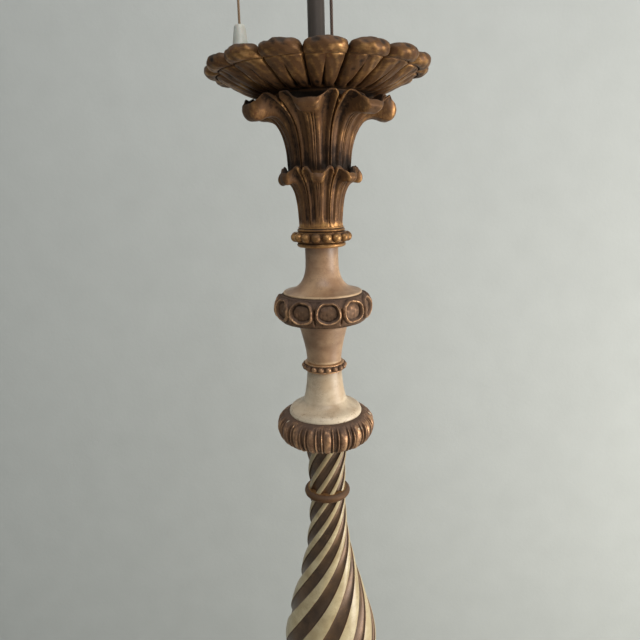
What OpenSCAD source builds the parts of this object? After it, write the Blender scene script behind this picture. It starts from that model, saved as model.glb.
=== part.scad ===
// Giltwood floor lamp: a stack of turned and carved wooden pieces on one long tube.
// A petalled drip pan crowns a leaf capital, collars, cream necks and a twisted fluted shaft.
// Millimetres, +Z up, the origin under the middle of the feet. The front of the lamp faces -Y.

/* [Feet and plinth] */
// Number of bun feet
feet = 4; // [3:1:8]
// Radius of the circle that the feet stand on
foot_pitch_r = 114; // [95:1:116]
// Radius of a bun foot
foot_r = 30; // [20:1:32]
// Height of a bun foot
foot_h = 35; // [25:1:60]
// Thickness of a felt pad
felt_t = 3; // [1:0.5:5]
// Radius of the plinth
plinth_r = 150; // [148:1:180]
// Height of the plinth
plinth_h = 24; // [20:1:40]
// Radius of the hollow under the base
cavity_r = 60; // [52:1:72]
// Thickness of the wood above the hollow
roof_t = 12; // [8:1:18]
// Thickness of the plate that closes the hollow
cover_t = 2; // [1:0.5:4]

/* [Base column] */
// Height of the carved ring on the plinth
base_ring_h = 30; // [28:1:50]
// Radius of the carved ring on the plinth
base_ring_r = 146; // [130:1:148]
// Lobes round the carved ring on the plinth
base_lobes = 24; // [12:1:30]
// Height of the cream bell
base_bell_h = 73; // [50:1:120]
// Radius of the foot of the cream bell
base_bell_r = 118; // [90:1:122]
// Radius of the top of the cream bell
base_bell_top_r = 38; // [34:1:40]
// Height of the small bead ring on the bell
base_bead_h = 10; // [9:0.5:14]
// Radius to the outside of that bead ring
base_bead_r = 47; // [44:1:56]
// Height of the cream neck above it
base_neck_h = 60; // [40:1:100]
// Height of the cream spool below the shaft
spool_h = 63; // [40:1:100]

/* [Twisted shaft] */
// Height of the short shaft piece under the lower ring
shaft_foot_h = 54; // [30:1:90]
// Height of the long shaft piece between the two rings
shaft_h = 516; // [400:1:700]
// Height of the short shaft piece over the upper ring
shaft_top_h = 60; // [40:1:90]
// Height of a shaft ring
shaft_ring_h = 9; // [8:0.5:14]
// Radius to the outside of a shaft ring
shaft_ring_r = 25.4; // [23:0.1:32]
// Radius of the shaft where it is thinnest
shaft_r = 20; // [18:0.5:26]
// Radius of the belly of the shaft
belly_r = 54; // [30:1:70]
// Height of the belly over the lower end of the long piece
belly_up = 326; // [200:1:330]
// Number of hollow flutes
flutes = 8; // [5:1:12]
// Depth of a flute
flute_depth = 3.2; // [1:0.1:4.5]
// Lean of the flutes from upright, in degrees
flute_lean = 32; // [10:1:45]
// Height over the belly at which one flute crosses the front
flute_front_up = 86.8; // [0:0.1:180]
// Half a flute's share of the pitch where the shaft is thin
flute_slim_share = 0.32; // [0.2:0.01:0.36]
// Half a flute's share of the pitch on the belly
flute_belly_share = 0.245; // [0.15:0.005:0.32]

/* [Rings and necks] */
// Height of the lobed rings at both ends of the shaft
lobe_ring_h = 31; // [24:1:44]
// Radius of the lobed rings
lobe_ring_r = 52.5; // [46:0.5:64]
// Lobes round a lobed ring
ring_lobes = 18; // [12:1:24]
// Height of the lowest of the three upper necks
lower_neck_h = 48; // [36:1:80]
// Height of the small bead ring between the upper necks
small_bead_h = 9; // [8.5:0.5:14]
// Radius to the outside of the small bead ring
small_bead_r = 24.1; // [22:0.1:32]
// Beads round the small bead ring
small_beads = 18; // [10:1:19]
// Height of the middle neck
middle_neck_h = 44; // [30:1:80]
// Height of a medallion ring
medallion_ring_h = 30; // [28:1:44]
// Radius to the outside of a medallion
medallion_ring_r = 52.6; // [48:0.1:64]
// Medallions round a ring
medallions = 11; // [6:1:11]
// Radius of one medallion
medallion_r = 11; // [8:0.5:11.5]
// Height of the upper neck
upper_neck_h = 47; // [30:1:80]
// Radius of the necks where they are thinnest
neck_r = 16.7; // [15.5:0.1:20]
// Radius of the ledges at the foot of the necks
ledge_r = 40; // [34:1:44]
// Height of the bead collar
collar_h = 20.5; // [18:0.5:30]
// Radius to the outside of the collar's beads
collar_r = 31.2; // [30:0.1:38]
// Beads round the collar
collar_beads = 16; // [8:1:16]
// Radius of a collar bead
collar_bead_r = 4.7; // [3:0.1:4.8]

/* [Leaves and pan] */
// Height of the leaf cup, from the collar to the seat of the capital
calyx_h = 49.5; // [36:0.5:80]
// Radius to the tips of the leaf cup
calyx_tip_r = 42.5; // [41:0.5:52]
// Height of the leaf capital
capital_h = 72; // [50:1:110]
// Radius to the tips of the capital's leaves
capital_tip_r = 74; // [62:0.5:84]
// Leaves round the capital, and round the cup under it
leaves = 7; // [5:1:12]
// Radius of the drip pan
pan_r = 106; // [90:1:130]
// Height of the drip pan, from its seat to the top of its rim
pan_h = 29; // [24:1:50]
// Thickness of the pan's floor
pan_floor_t = 12; // [10:0.5:16]
// Petals round the pan
petals = 16; // [8:1:20]

/* [Tube and fittings] */
// Outside radius of the threaded tube through the whole lamp
tube_r = 5; // [4.5:0.1:6]
// Wall of the threaded tube
tube_wall = 1; // [0.6:0.1:1.4]
// Outside radius of the brown stem above the pan
stem_r = 8; // [7.5:0.1:11]
// Height of the brown stem
stem_h = 180; // [120:1:260]
// Radius of the round nut on the pan's floor
pan_nut_r = 12; // [10:0.5:16]
// Height of the round nut on the pan's floor
pan_nut_h = 6; // [4:0.5:10]
// Radius of the cluster body
cluster_r = 17; // [15:0.5:22]
// Height of the cluster body
cluster_h = 34; // [28:1:50]
// Distance from the stem to each lampholder
holder_reach = 50; // [44:1:70]
// Outside radius of a lampholder
holder_r = 20; // [19:0.5:22]
// Height of a lampholder's cup
cup_h = 18; // [15:0.5:24]
// Height of a lampholder's shell
shell_h = 44; // [38:1:60]
// Wall of the cup and the shell
holder_wall = 1.2; // [0.6:0.1:1.8]
// Radius of a bulb
bulb_r = 30; // [22:1:34]
// Height of a bulb's glass
bulb_h = 80; // [60:1:110]
// Height of the shade's seat over the cluster
shade_seat_up = 150; // [120:1:220]
// Length of the bare stud that a shade slips over
stud_h = 20; // [12:1:40]
// Radius of the round seat that a shade rests on
shade_seat_r = 14; // [10:0.5:20]

/* [Pull switches] */
// Distance from a lampholder's middle to its cord
outlet_reach = 32; // [31:0.5:38]
// Outside radius of a switch bush
bush_r = 5.5; // [5:0.1:7]
// Radius of the plunger that the cord pulls
plunger_r = 2.5; // [2:0.1:3]
// How far a pull travels
pull_travel = 8; // [4:0.5:10]
// Radius of the thin cord on the left
left_cord_r = 1.1; // [0.8:0.1:1.6]
// Radius of the thicker cord on the right
right_cord_r = 1.6; // [1:0.1:2]
// Height of a conical pull
pull_h = 26; // [18:1:40]
// Radius of the foot of a conical pull
pull_r = 8; // [6:0.5:11]

/* [Hidden] */

$fn = 72;
GILT = "#8a5d36";
CREAM = "#cdbb98";
BROWN = "#4a3d34";
BRASS = "#b08d4a";
STEEL = "#9a9a98";
CERAMIC = "#e6e0d2";

// Clearances: a glued spigot, a tube in its bore, a running fit and a loose piece
glue_fit = 0.1;
bore_fit = 0.3;
running_fit = 0.05;
loose_fit = 0.2;
cut = 1;

// The glued spigots that join the turned pieces
bore_r = tube_r + bore_fit;
spigot_r = 11;
spigot_h = 6;
socket_r = spigot_r + glue_fit;
socket_h = spigot_h + 0.5;

// Heights of the seats, from the floor up
feet_z = felt_t;
plinth_z = feet_z + foot_h;
base_ring_z = plinth_z + plinth_h;
base_bell_z = base_ring_z + base_ring_h;
base_bead_z = base_bell_z + base_bell_h;
base_neck_z = base_bead_z + base_bead_h;
low_medallion_z = base_neck_z + base_neck_h;
spool_z = low_medallion_z + medallion_ring_h;
low_lobe_z = spool_z + spool_h;
shaft_foot_z = low_lobe_z + lobe_ring_h;
low_ring_z = shaft_foot_z + shaft_foot_h;
shaft_z = low_ring_z + shaft_ring_h;
up_ring_z = shaft_z + shaft_h;
shaft_top_z = up_ring_z + shaft_ring_h;
up_lobe_z = shaft_top_z + shaft_top_h;
lower_neck_z = up_lobe_z + lobe_ring_h;
small_bead_z = lower_neck_z + lower_neck_h;
middle_neck_z = small_bead_z + small_bead_h;
medallion_z = middle_neck_z + middle_neck_h;
upper_neck_z = medallion_z + medallion_ring_h;
collar_z = upper_neck_z + upper_neck_h;
calyx_z = collar_z + collar_h;
capital_z = calyx_z + calyx_h;
pan_z = capital_z + capital_h;
pan_floor_z = pan_z + pan_floor_t;
washer_t = 2;
stem_z = pan_floor_z + washer_t + pan_nut_h;
cluster_z = stem_z + stem_h;
arm_z = cluster_z + cluster_h / 2;
arm_r = tube_r;
arm_bend = 12;
holder_z = arm_z + arm_bend + 3;
roof_z = base_bell_z - roof_t;
tube_foot_z = roof_z - washer_t - 12;
shade_seat_z = cluster_z + cluster_h + shade_seat_up;

// Outline helpers: a smooth curve through four handles, a half-round and an outline in shares
function bend(p, t) = pow(1 - t, 3) * p[0] + 3 * pow(1 - t, 2) * t * p[1]
    + 3 * (1 - t) * t * t * p[2] + t * t * t * p[3];
function curve(p, n) = [for (i = [0 : n]) bend(p, i / n)];
function half_round(r, z0, z1, proud, n = 8) =
    [for (i = [0 : n]) [r + proud * sin(180 * i / n), z0 + (z1 - z0) * (1 - cos(180 * i / n)) / 2]];
function placed(shares, r0, r1, z0, h) = [for (s = shares) [r0 + (r1 - r0) * s[0], z0 + h * s[1]]];

// A turned piece of the stack: a socket below, a spigot above and the bore for the tube
function stacked(outline, z0, z1) = concat(
    [[bore_r, z0 + socket_h], [socket_r, z0 + socket_h], [socket_r, z0]],
    outline,
    [[spigot_r, z1], [spigot_r, z1 + spigot_h], [bore_r, z1 + spigot_h]]);
module turned(points) { rotate_extrude() polygon(points); }
module tube(r, bore, z0, z1) { turned([[bore, z0], [r, z0], [r, z1], [bore, z1]]); }

// Carved work: every ring of points runs once round the axis, and the rings climb the outline.
// Each entry of mix is [share of the pitch, share of the way from the crest to the notch], and
// for leaves a third number: the share of the way from the crest to the peak beside the notch.
function carved_rings(crest, notch, count, mix, start, peak = []) =
    [for (j = [0 : len(crest) - 1])
        [for (k = [0 : count - 1], m = mix)
            let (to_peak = len(peak) == 0 ? [0, 0] : (peak[j] - crest[j]) * m[2],
                p = crest[j] + (notch[j] - crest[j]) * m[1] + to_peak,
                a = start + (k + m[0]) * 360 / count)
            [p[0] * cos(a), p[0] * sin(a), p[1]]]];
module ringed(rings) {
    n = len(rings[0]);
    last = len(rings) - 1;
    sides = [for (j = [0 : last - 1], i = [0 : n - 1], upper = [0, 1])
        let (a = j * n + i, b = j * n + (i + 1) % n)
        upper ? [a, b + n, b] : [a, a + n, b + n]];
    lids = [[for (i = [0 : n - 1]) i], [for (i = [n - 1 : -1 : 0]) last * n + i]];
    polyhedron([for (ring = rings, p = ring) p], concat(sides, lids), convexity = 8);
}
// Gives a carved piece its spigot, its socket and its bore
module on_tube(z0, z1, spigot = true) {
    difference() {
        union() {
            children();
            if (spigot) translate([0, 0, z1 - cut]) cylinder(r = spigot_r, h = spigot_h + cut);
        }
        translate([0, 0, z0 - cut]) cylinder(r = bore_r, h = z1 - z0 + spigot_h + 2 * cut);
        translate([0, 0, z0 - cut]) cylinder(r = socket_r, h = socket_h + cut);
    }
}
// Angle of a place in front, measured towards +X
function facing(a) = a - 90;

// Feet
felt_r = foot_r * 0.7;
module at_feet() {
    for (k = [0 : feet - 1]) rotate([0, 0, 45 + k * 360 / feet]) translate([foot_pitch_r, 0, 0]) children();
}
module felt_pads() {
    color("#3c4a3c") at_feet() cylinder(r = felt_r, h = felt_t);
}
screw_r = 4;
screw_bite = 15;
module bun_feet() {
    bun = [[0.72, 0], [0.86, 0.04], [0.96, 0.16], [1, 0.34], [0.97, 0.52], [0.86, 0.66], [0.66, 0.74],
        [0.62, 0.8], [0.7, 0.84], [0.74, 0.92], [0.7, 1]];
    color(GILT) at_feet() difference() {
        turned(concat([[0, feet_z]], placed(bun, 0, foot_r, feet_z, foot_h), [[0, plinth_z]]));
        translate([0, 0, plinth_z - screw_bite]) cylinder(r = screw_r + glue_fit, h = screw_bite + cut);
    }
}
module foot_screws() {
    color(STEEL) at_feet()
        translate([0, 0, plinth_z - screw_bite]) cylinder(r = screw_r, h = 2 * screw_bite);
}

// Plinth, with the hollow for the wiring, the side inlet and the rebate for the cover
cover_r = cavity_r + 8;
inlet_r = 5.5;
inlet_z = plinth_z + plinth_h / 2 + 2;
inlet_flange_r = 7.2;
inlet_flange_t = 2.5;
inlet_face = plinth_r - 8;
cover_hole_r = cavity_r + 4;
cover_screw_r = 1.7;
cover_screw_h = 10;
module at_cover_screws() {
    for (k = [0 : 3]) rotate([0, 0, 45 + k * 90]) translate([cover_hole_r, 0, 0]) children();
}
module plinth() {
    face_r = plinth_r - 5;
    cove = concat(
        half_round(face_r, plinth_z, plinth_z + 6, 5),
        curve([[face_r, base_ring_z - 7], [face_r, base_ring_z - 3], [face_r - 3, base_ring_z],
            [face_r - 7, base_ring_z]], 6));
    color(GILT) difference() {
        turned(concat([[cavity_r, plinth_z + cover_t], [cover_r, plinth_z + cover_t], [cover_r, plinth_z]],
            cove, [[cavity_r, base_ring_z]]));
        at_feet() translate([0, 0, plinth_z - cut])
            cylinder(r = screw_r + glue_fit, h = screw_bite + glue_fit + cut);
        at_cover_screws() translate([0, 0, plinth_z])
            cylinder(r = cover_screw_r + glue_fit, h = cover_screw_h + glue_fit);
        translate([0, cavity_r - cut, inlet_z]) rotate([-90, 0, 0])
            cylinder(r = inlet_r + glue_fit, h = plinth_r);
        translate([0, inlet_face, inlet_z]) rotate([-90, 0, 0])
            cylinder(r = inlet_flange_r + loose_fit, h = plinth_r);
    }
}
module base_cover() {
    color(BROWN) difference() {
        translate([0, 0, plinth_z]) cylinder(r = cover_r - loose_fit, h = cover_t);
        at_cover_screws() translate([0, 0, plinth_z - cut])
            cylinder(r = cover_screw_r + glue_fit, h = cover_t + 2 * cut);
    }
}
module cover_screws() {
    color(STEEL) at_cover_screws() turned([[0, plinth_z - 1.6], [2, plinth_z - 1.6], [3.2, plinth_z],
        [cover_screw_r, plinth_z], [cover_screw_r, plinth_z + cover_screw_h], [0, plinth_z + cover_screw_h]]);
}
// Brass bush that lines the hole for the mains lead, bored for the lead
inlet_bore_r = 4;
module inlet_bush() {
    color(BRASS) translate([0, 0, inlet_z]) rotate([-90, 0, 0]) turned([
        [inlet_bore_r, cavity_r], [inlet_r, cavity_r], [inlet_r, inlet_face],
        [inlet_flange_r, inlet_face], [inlet_flange_r, inlet_face + inlet_flange_t - 1],
        [inlet_flange_r - 1, inlet_face + inlet_flange_t], [inlet_bore_r, inlet_face + inlet_flange_t]]);
}

// Lobed rings: fat lobes side by side, with a narrow groove between two neighbours
LOBE_MIX = [[0, 0], [0.32, 0.12], [0.5, 1], [0.68, 0.12]];
module lobed(r, z0, h, count, deep, inner) {
    swell = [[0, 0], [0.52, 0.12], [0.88, 0.32], [1, 0.55], [0.84, 0.79], [0.46, 0.94], [0.1, 1]];
    crest = placed(swell, inner, r, z0, h);
    notch = placed(swell, inner - deep * 0.5, r - deep, z0, h);
    ringed(carved_rings(crest, notch, count, LOBE_MIX, facing(0.9)));
}
lobe_inner_r = 40;
lobe_deep = 3.6;
module base_lobed_ring() {
    color(GILT) difference() {
        lobed(base_ring_r, base_ring_z, base_ring_h, base_lobes, 7, base_ring_r - 22);
        translate([0, 0, base_ring_z - cut]) cylinder(r = cavity_r, h = base_ring_h - roof_t + cut);
        translate([0, 0, roof_z - cut]) cylinder(r = bore_r, h = roof_t + 2 * cut);
    }
}
module lower_lobed_ring() {
    color(GILT) on_tube(low_lobe_z, shaft_foot_z)
        lobed(lobe_ring_r, low_lobe_z, lobe_ring_h, ring_lobes, lobe_deep, lobe_inner_r);
}
module upper_lobed_ring() {
    color(GILT) on_tube(up_lobe_z, lower_neck_z)
        lobed(lobe_ring_r, up_lobe_z, lobe_ring_h, ring_lobes, lobe_deep, lobe_inner_r);
}

// What is under the roof of the hollow: washer, nut, terminal block
base_washer_r = 20;
base_nut_flats = 17;
module base_washer() { color(STEEL) tube(base_washer_r, bore_r, roof_z - washer_t, roof_z); }
module base_nut() {
    color(STEEL) translate([0, 0, roof_z - washer_t - 8]) difference() {
        cylinder(r = base_nut_flats / sqrt(3), h = 8, $fn = 6);
        translate([0, 0, -cut]) cylinder(r = tube_r + running_fit, h = 8 + 2 * cut);
    }
}
block = [26, 16, 16];
block_y = base_washer_r + block[1] / 2 + 6;
module terminal_block() {
    color(CERAMIC) translate([-block[0] / 2, block_y - block[1] / 2, roof_z - block[2]]) difference() {
        cube(block);
        for (x = [0.25, 0.75]) translate([block[0] * x, block[1] / 4, -cut])
            cylinder(r = 2, h = block[2] / 2 + cut);
    }
}

// Cream bell, its bead ring and the neck above
module base_bell() {
    slope = concat(
        half_round(base_bell_r - 3, base_bell_z, base_bell_z + 6, 3),
        [[base_bell_r - 6, base_bell_z + 7]],
        curve([[base_bell_r - 6, base_bell_z + 7], [base_bell_r - 14, base_bell_z + base_bell_h * 0.45],
            [base_bell_top_r + 6, base_bell_z + base_bell_h * 0.3], [base_bell_top_r, base_bead_z]], 14));
    color(CREAM) turned(stacked(slope, base_bell_z, base_bead_z));
}
// A ring of beads between two thin fillets, on a turned core
module bead_ring(z0, h, outer, bead_r, count, core, fillet) {
    band = (h - 1.7 * bead_r) / 2;
    color(GILT) union() {
        turned(stacked(concat(
            half_round(fillet - band / 2, z0, z0 + band, band / 2, 5), [[core, z0 + band]],
            [[core, z0 + h - band]], half_round(fillet - band / 2, z0 + h - band, z0 + h, band / 2, 5)),
            z0, z0 + h));
        for (k = [0 : count - 1]) rotate([0, 0, (k + 0.5) * 360 / count])
            translate([outer - bead_r, 0, z0 + h / 2]) sphere(r = bead_r, $fn = 24);
    }
}
module base_bead_ring() { bead_ring(base_bead_z, base_bead_h, base_bead_r, 4.2, 26, 40, 42); }
module small_bead_ring() {
    bead_ring(small_bead_z, small_bead_h, small_bead_r, 3, small_beads, small_bead_r - 4, small_bead_r - 3.2);
}
module bead_collar() {
    bead_ring(collar_z, collar_h, collar_r, collar_bead_r, collar_beads, collar_r - 8, collar_r - 6);
}
module base_neck() {
    waist = curve([[36, base_neck_z], [20, base_neck_z + 6],
        [22, low_medallion_z - 24], [24, low_medallion_z - 8]], 10);
    color(CREAM) turned(stacked(concat(waist, [[30, low_medallion_z - 4], [30, low_medallion_z]]),
        base_neck_z, low_medallion_z));
}
module lower_spool() {
    flare = curve([[ledge_r, spool_z + 3], [26, spool_z + 6], [neck_r + 2, spool_z + 12],
        [neck_r + 3, spool_z + spool_h * 0.5]], 8);
    rise = curve([[neck_r + 3, spool_z + spool_h * 0.5], [neck_r + 4, spool_z + spool_h * 0.8],
        [30, low_lobe_z - 8], [ledge_r - 2, low_lobe_z - 3]], 8);
    color(CREAM) turned(stacked(concat([[ledge_r, spool_z]], flare, [for (i = [1 : 8]) rise[i]],
        [[ledge_r - 2, low_lobe_z]]), spool_z, low_lobe_z));
}

// Medallion rings: round buttons with a raised rim and a flat recess, let into a turned ring
module medallion_band(z0) {
    mid = z0 + medallion_ring_h * 0.53;
    body_r = medallion_ring_r - 5;
    swell = [[0.1, 0], [0.5, 0.1], [0.85, 0.28], [1, 0.53], [0.85, 0.78], [0.5, 0.92], [0.2, 1]];
    dish = 3;
    button = [[0, body_r - 6], [medallion_r, body_r - 6], [medallion_r, body_r + 1.5],
        [medallion_r - 0.5, medallion_ring_r - 1.3], [medallion_r - 1.2, medallion_ring_r - 0.3],
        [medallion_r - 2.1, medallion_ring_r], [medallion_r - 2.9, medallion_ring_r - 0.4],
        [medallion_r - 3.7, medallion_ring_r - dish + 0.4], [medallion_r - 4.4, medallion_ring_r - dish],
        [0, medallion_ring_r - dish]];
    color(GILT) union() {
        turned(stacked(placed(swell, lobe_inner_r - 2, body_r, z0, medallion_ring_h),
            z0, z0 + medallion_ring_h));
        for (k = [0 : medallions - 1]) rotate([0, 0, facing(6) + k * 360 / medallions])
            translate([0, 0, mid]) rotate([0, 90, 0]) turned(button);
    }
}
module lower_medallion_ring() { medallion_band(low_medallion_z); }
module medallion_ring() { medallion_band(medallion_z); }

// Twisted shaft: one outline, whose flutes lean by the same angle wherever they are
belly_z = shaft_z + belly_up;
neck_up = up_ring_z - belly_z;
shaft_end_r = shaft_r + 5;
shaft_outline = concat(
    curve([[shaft_foot_z, shaft_end_r], [shaft_foot_z + 10, shaft_r + 1], [shaft_foot_z + 20, shaft_r],
        [low_ring_z, shaft_r]], 4),
    curve([[shaft_z + 20, shaft_r], [shaft_z + belly_up * 0.5, shaft_r + 1],
        [belly_z - belly_up * 0.21, belly_r], [belly_z, belly_r]], 24),
    [for (i = [1 : 24]) bend([[belly_z, belly_r], [belly_z + neck_up * 0.22, belly_r],
        [belly_z + neck_up * 0.52, shaft_r - 1], [up_ring_z, shaft_r]], i / 24)],
    curve([[shaft_top_z, shaft_r], [up_lobe_z - 30, shaft_r], [up_lobe_z - 12, shaft_r + 1],
        [up_lobe_z, shaft_end_r]], 6));
twist_step = 5;
twist_n = ceil((up_lobe_z - shaft_foot_z) / twist_step);
twist_table = [for (i = 0, a = 0; i <= twist_n;
    a = a + tan(flute_lean) * twist_step / lookup(shaft_foot_z + i * twist_step, shaft_outline) * 180 / PI,
    i = i + 1) [shaft_foot_z + i * twist_step, a]];
flute_front_z = belly_z + flute_front_up;
function twist(z) = lookup(z, twist_table) - lookup(flute_front_z, twist_table);
// The flutes are wider, beside the lands, where the shaft is thin
function flute_mix(r) = let (w = flute_slim_share + (flute_belly_share - flute_slim_share)
    * max(0, min(1, (r - shaft_r) / (belly_r - 6 - shaft_r))))
    [[0, 1], [w * 0.62, 0.8], [w, 0], [0.5, -0.2], [1 - w, 0], [1 - w * 0.62, 0.8]];
module fluted(z0, z1, steps) {
    ringed([for (j = [0 : steps])
        let (z = z0 + (z1 - z0) * j / steps, r = lookup(z, shaft_outline))
        carved_rings([[r, z]], [[r - flute_depth, z]], flutes, flute_mix(r), facing(twist(z)))[0]]);
}
module shaft_foot() {
    color(CREAM) on_tube(shaft_foot_z, low_ring_z) fluted(shaft_foot_z, low_ring_z, 4);
}
module twisted_shaft() {
    color(CREAM) on_tube(shaft_z, up_ring_z) fluted(shaft_z, up_ring_z, 32);
}
module shaft_top() {
    color(CREAM) on_tube(shaft_top_z, up_lobe_z) fluted(shaft_top_z, up_lobe_z, 5);
}
module shaft_band(z0) {
    core = shaft_ring_r - shaft_ring_h / 2;
    color(GILT) turned(stacked(half_round(core, z0, z0 + shaft_ring_h, shaft_ring_h / 2, 10),
        z0, z0 + shaft_ring_h));
}
module lower_shaft_ring() { shaft_band(low_ring_z); }
module upper_shaft_ring() { shaft_band(up_ring_z); }

// The three cream necks: each flares to a thin ledge, or tapers down to its bead ring
module lower_neck() {
    z = lower_neck_z;
    foot = curve([[ledge_r - 1, z + 2.5], [ledge_r - 2, z + 9], [27, z + 7], [23.4, z + 14]], 7);
    side = curve([[23.4, z + 14], [21, z + 20], [19, z + lower_neck_h * 0.7], [18.2, small_bead_z]], 6);
    color(CREAM) turned(stacked(concat([[ledge_r - 1, z]], foot, [for (i = [1 : 6]) side[i]]),
        z, small_bead_z));
}
module middle_neck() {
    side = curve([[18, middle_neck_z], [18.6, middle_neck_z + middle_neck_h * 0.35],
        [22.5, middle_neck_z + middle_neck_h * 0.62], [25.5, medallion_z - 3]], 8);
    color(CREAM) turned(stacked(concat(side, [[27.5, medallion_z - 3], [27.5, medallion_z]]),
        middle_neck_z, medallion_z));
}
module upper_neck() {
    z = upper_neck_z;
    foot = curve([[ledge_r + 0.6, z + 1.6], [26, z + 4], [20, z + 9], [17.5, z + 23]], 9);
    side = curve([[17.5, z + 23], [neck_r, z + 28], [neck_r, z + upper_neck_h * 0.8],
        [neck_r + 0.3, collar_z]], 4);
    color(CREAM) turned(stacked(concat([[ledge_r + 0.6, z]], foot, [for (i = [1 : 4]) side[i]]),
        z, collar_z));
}

// Leaf cup: short leaves whose tips curl out round the foot of the capital. A leaf's middle
// hangs out and low, and it rises to a peak on both sides of the cut between two leaves.
LEAF_MIX = [[0, 0, 0], [0.13, 0.03, 0.1], [0.27, 0.13, 0.55], [0.42, 0, 1], [0.5, 1, 0], [0.58, 0, 1],
    [0.73, 0.13, 0.55], [0.87, 0.03, 0.1]];
cup_foot_r = 21.4;
capital_foot_r = 30.5;
// The inside of the cup's rim stands clear of the capital's foot, which swells a little
cup_lip_r = capital_foot_r + 1 + loose_fit;
module leaf_cup() {
    crest = [[0, 0], [0.05, 0.26], [0.17, 0.55], [0.36, 0.8], [0.56, 0.84], [0.82, 0.82], [0.98, 0.88],
        [1, 0.96], [0.92, 1.01]];
    peak = [[0.03, 0], [0.06, 0.26], [0.16, 0.55], [0.3, 0.8], [0.42, 0.91], [0.54, 0.99], [0.66, 1.04],
        [0.72, 1.1], [0.68, 1.15]];
    notch = [[-0.04, 0], [-0.06, 0.26], [0.05, 0.55], [0.2, 0.8], [0.33, 0.88], [0.45, 0.92], [0.54, 0.96],
        [0.6, 1], [0.6, 1.04]];
    inside = function(out, up) [[cup_lip_r + out, capital_z + up], [cup_lip_r, capital_z]];
    color(GILT) on_tube(calyx_z, capital_z) ringed(carved_rings(
        concat(placed(crest, cup_foot_r, calyx_tip_r, calyx_z, calyx_h), inside(3, 0.8)),
        concat(placed(notch, cup_foot_r, calyx_tip_r, calyx_z, calyx_h), inside(0.8, 1)),
        leaves, LEAF_MIX, facing(-3.5),
        concat(placed(peak, cup_foot_r, calyx_tip_r, calyx_z, calyx_h), inside(1.4, 3.6))));
}
// Capital: tall leaves of the same cut, whose tips hang under the pan
module leaf_capital() {
    crest = [[0.01, 0], [0.015, 0.17], [0.06, 0.33], [0.17, 0.51], [0.31, 0.65], [0.47, 0.75], [0.6, 0.74],
        [0.72, 0.7], [0.85, 0.7], [0.96, 0.75], [1, 0.8], [0.94, 0.84], [0.76, 0.81], [0.46, 1]];
    peak = [[0.01, 0], [0.015, 0.17], [0.06, 0.33], [0.16, 0.51], [0.28, 0.65], [0.39, 0.76], [0.47, 0.83],
        [0.54, 0.88], [0.61, 0.91], [0.68, 0.93], [0.72, 0.96], [0.68, 0.99], [0.57, 0.93], [0.46, 1]];
    notch = [[-0.01, 0], [-0.04, 0.17], [-0.01, 0.33], [0.07, 0.51], [0.19, 0.65], [0.32, 0.77],
        [0.42, 0.83], [0.49, 0.87], [0.55, 0.9], [0.61, 0.92], [0.64, 0.95], [0.62, 0.98], [0.53, 0.95],
        [0.46, 1]];
    color(GILT) on_tube(capital_z, pan_z) ringed(carved_rings(
        placed(crest, capital_foot_r, capital_tip_r, capital_z, capital_h),
        placed(notch, capital_foot_r, capital_tip_r, capital_z, capital_h), leaves, LEAF_MIX, facing(-8),
        placed(peak, capital_foot_r, capital_tip_r, capital_z, capital_h)));
}
// Drip pan: sixteen cushioned petals with a fat rolled lip round a shallow dish
PETAL_MIX = [[0, 0], [1 / 6, 0.1], [1 / 3, 0.4], [0.5, 1], [2 / 3, 0.4], [5 / 6, 0.1]];
pan_seat_r = 50;
module drip_pan() {
    rise = pan_floor_t / pan_h;
    crest = [[0, 0], [0.27, 0.08], [0.57, 0.31], [0.79, 0.54], [0.84, 0.64], [0.93, 0.59], [1, 0.71],
        [0.98, 0.88], [0.9, 1], [0.79, 0.95], [0.68, rise + 0.28], [0.32, rise + 0.05], [-0.1, rise]];
    notch = [[0, 0], [0.26, 0.16], [0.54, 0.41], [0.71, 0.62], [0.75, 0.71], [0.79, 0.71], [0.84, 0.78],
        [0.83, 0.86], [0.79, 0.91], [0.74, 0.88], [0.64, rise + 0.29], [0.32, rise + 0.06], [-0.1, rise]];
    color(GILT) on_tube(pan_z, pan_floor_z, spigot = false) ringed(carved_rings(
        placed(crest, pan_seat_r, pan_r, pan_z, pan_h),
        placed(notch, pan_seat_r, pan_r, pan_z, pan_h), petals, PETAL_MIX, facing(3.9)));
}

// Long tube, its nut on the pan and the brown stem round its upper end
tube_top_z = cluster_z + cluster_h / 2 - 6;
module centre_tube() { color(STEEL) tube(tube_r, tube_r - tube_wall, tube_foot_z, tube_top_z); }
module pan_washer() { color(BRASS) tube(pan_nut_r + 6, bore_r, pan_floor_z, pan_floor_z + washer_t); }
module pan_nut() {
    z = pan_floor_z + washer_t;
    color(BRASS) turned([[tube_r + running_fit, z], [pan_nut_r, z], [pan_nut_r, z + pan_nut_h - 1.5],
        [pan_nut_r - 1.5, z + pan_nut_h], [tube_r + running_fit, z + pan_nut_h]]);
}
module stem_tube() { color(BROWN) tube(stem_r, bore_r, stem_z, cluster_z); }

// Lead inside the tube: it turns over under the nut and comes up into the terminal block
lead_r = 3.2;
lead_low_z = tube_foot_z - 4;
module inner_lead() {
    color("#2e2a28") union() {
        translate([0, 0, lead_low_z]) cylinder(r = lead_r, h = tube_top_z - 4 - lead_low_z);
        translate([0, block_y / 2, lead_low_z]) rotate([90, 0, 90])
            rotate_extrude(angle = -180) translate([block_y / 2, 0]) circle(r = lead_r);
        translate([0, block_y, lead_low_z]) cylinder(r = lead_r, h = roof_z - block[2] - lead_low_z);
    }
}

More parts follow.
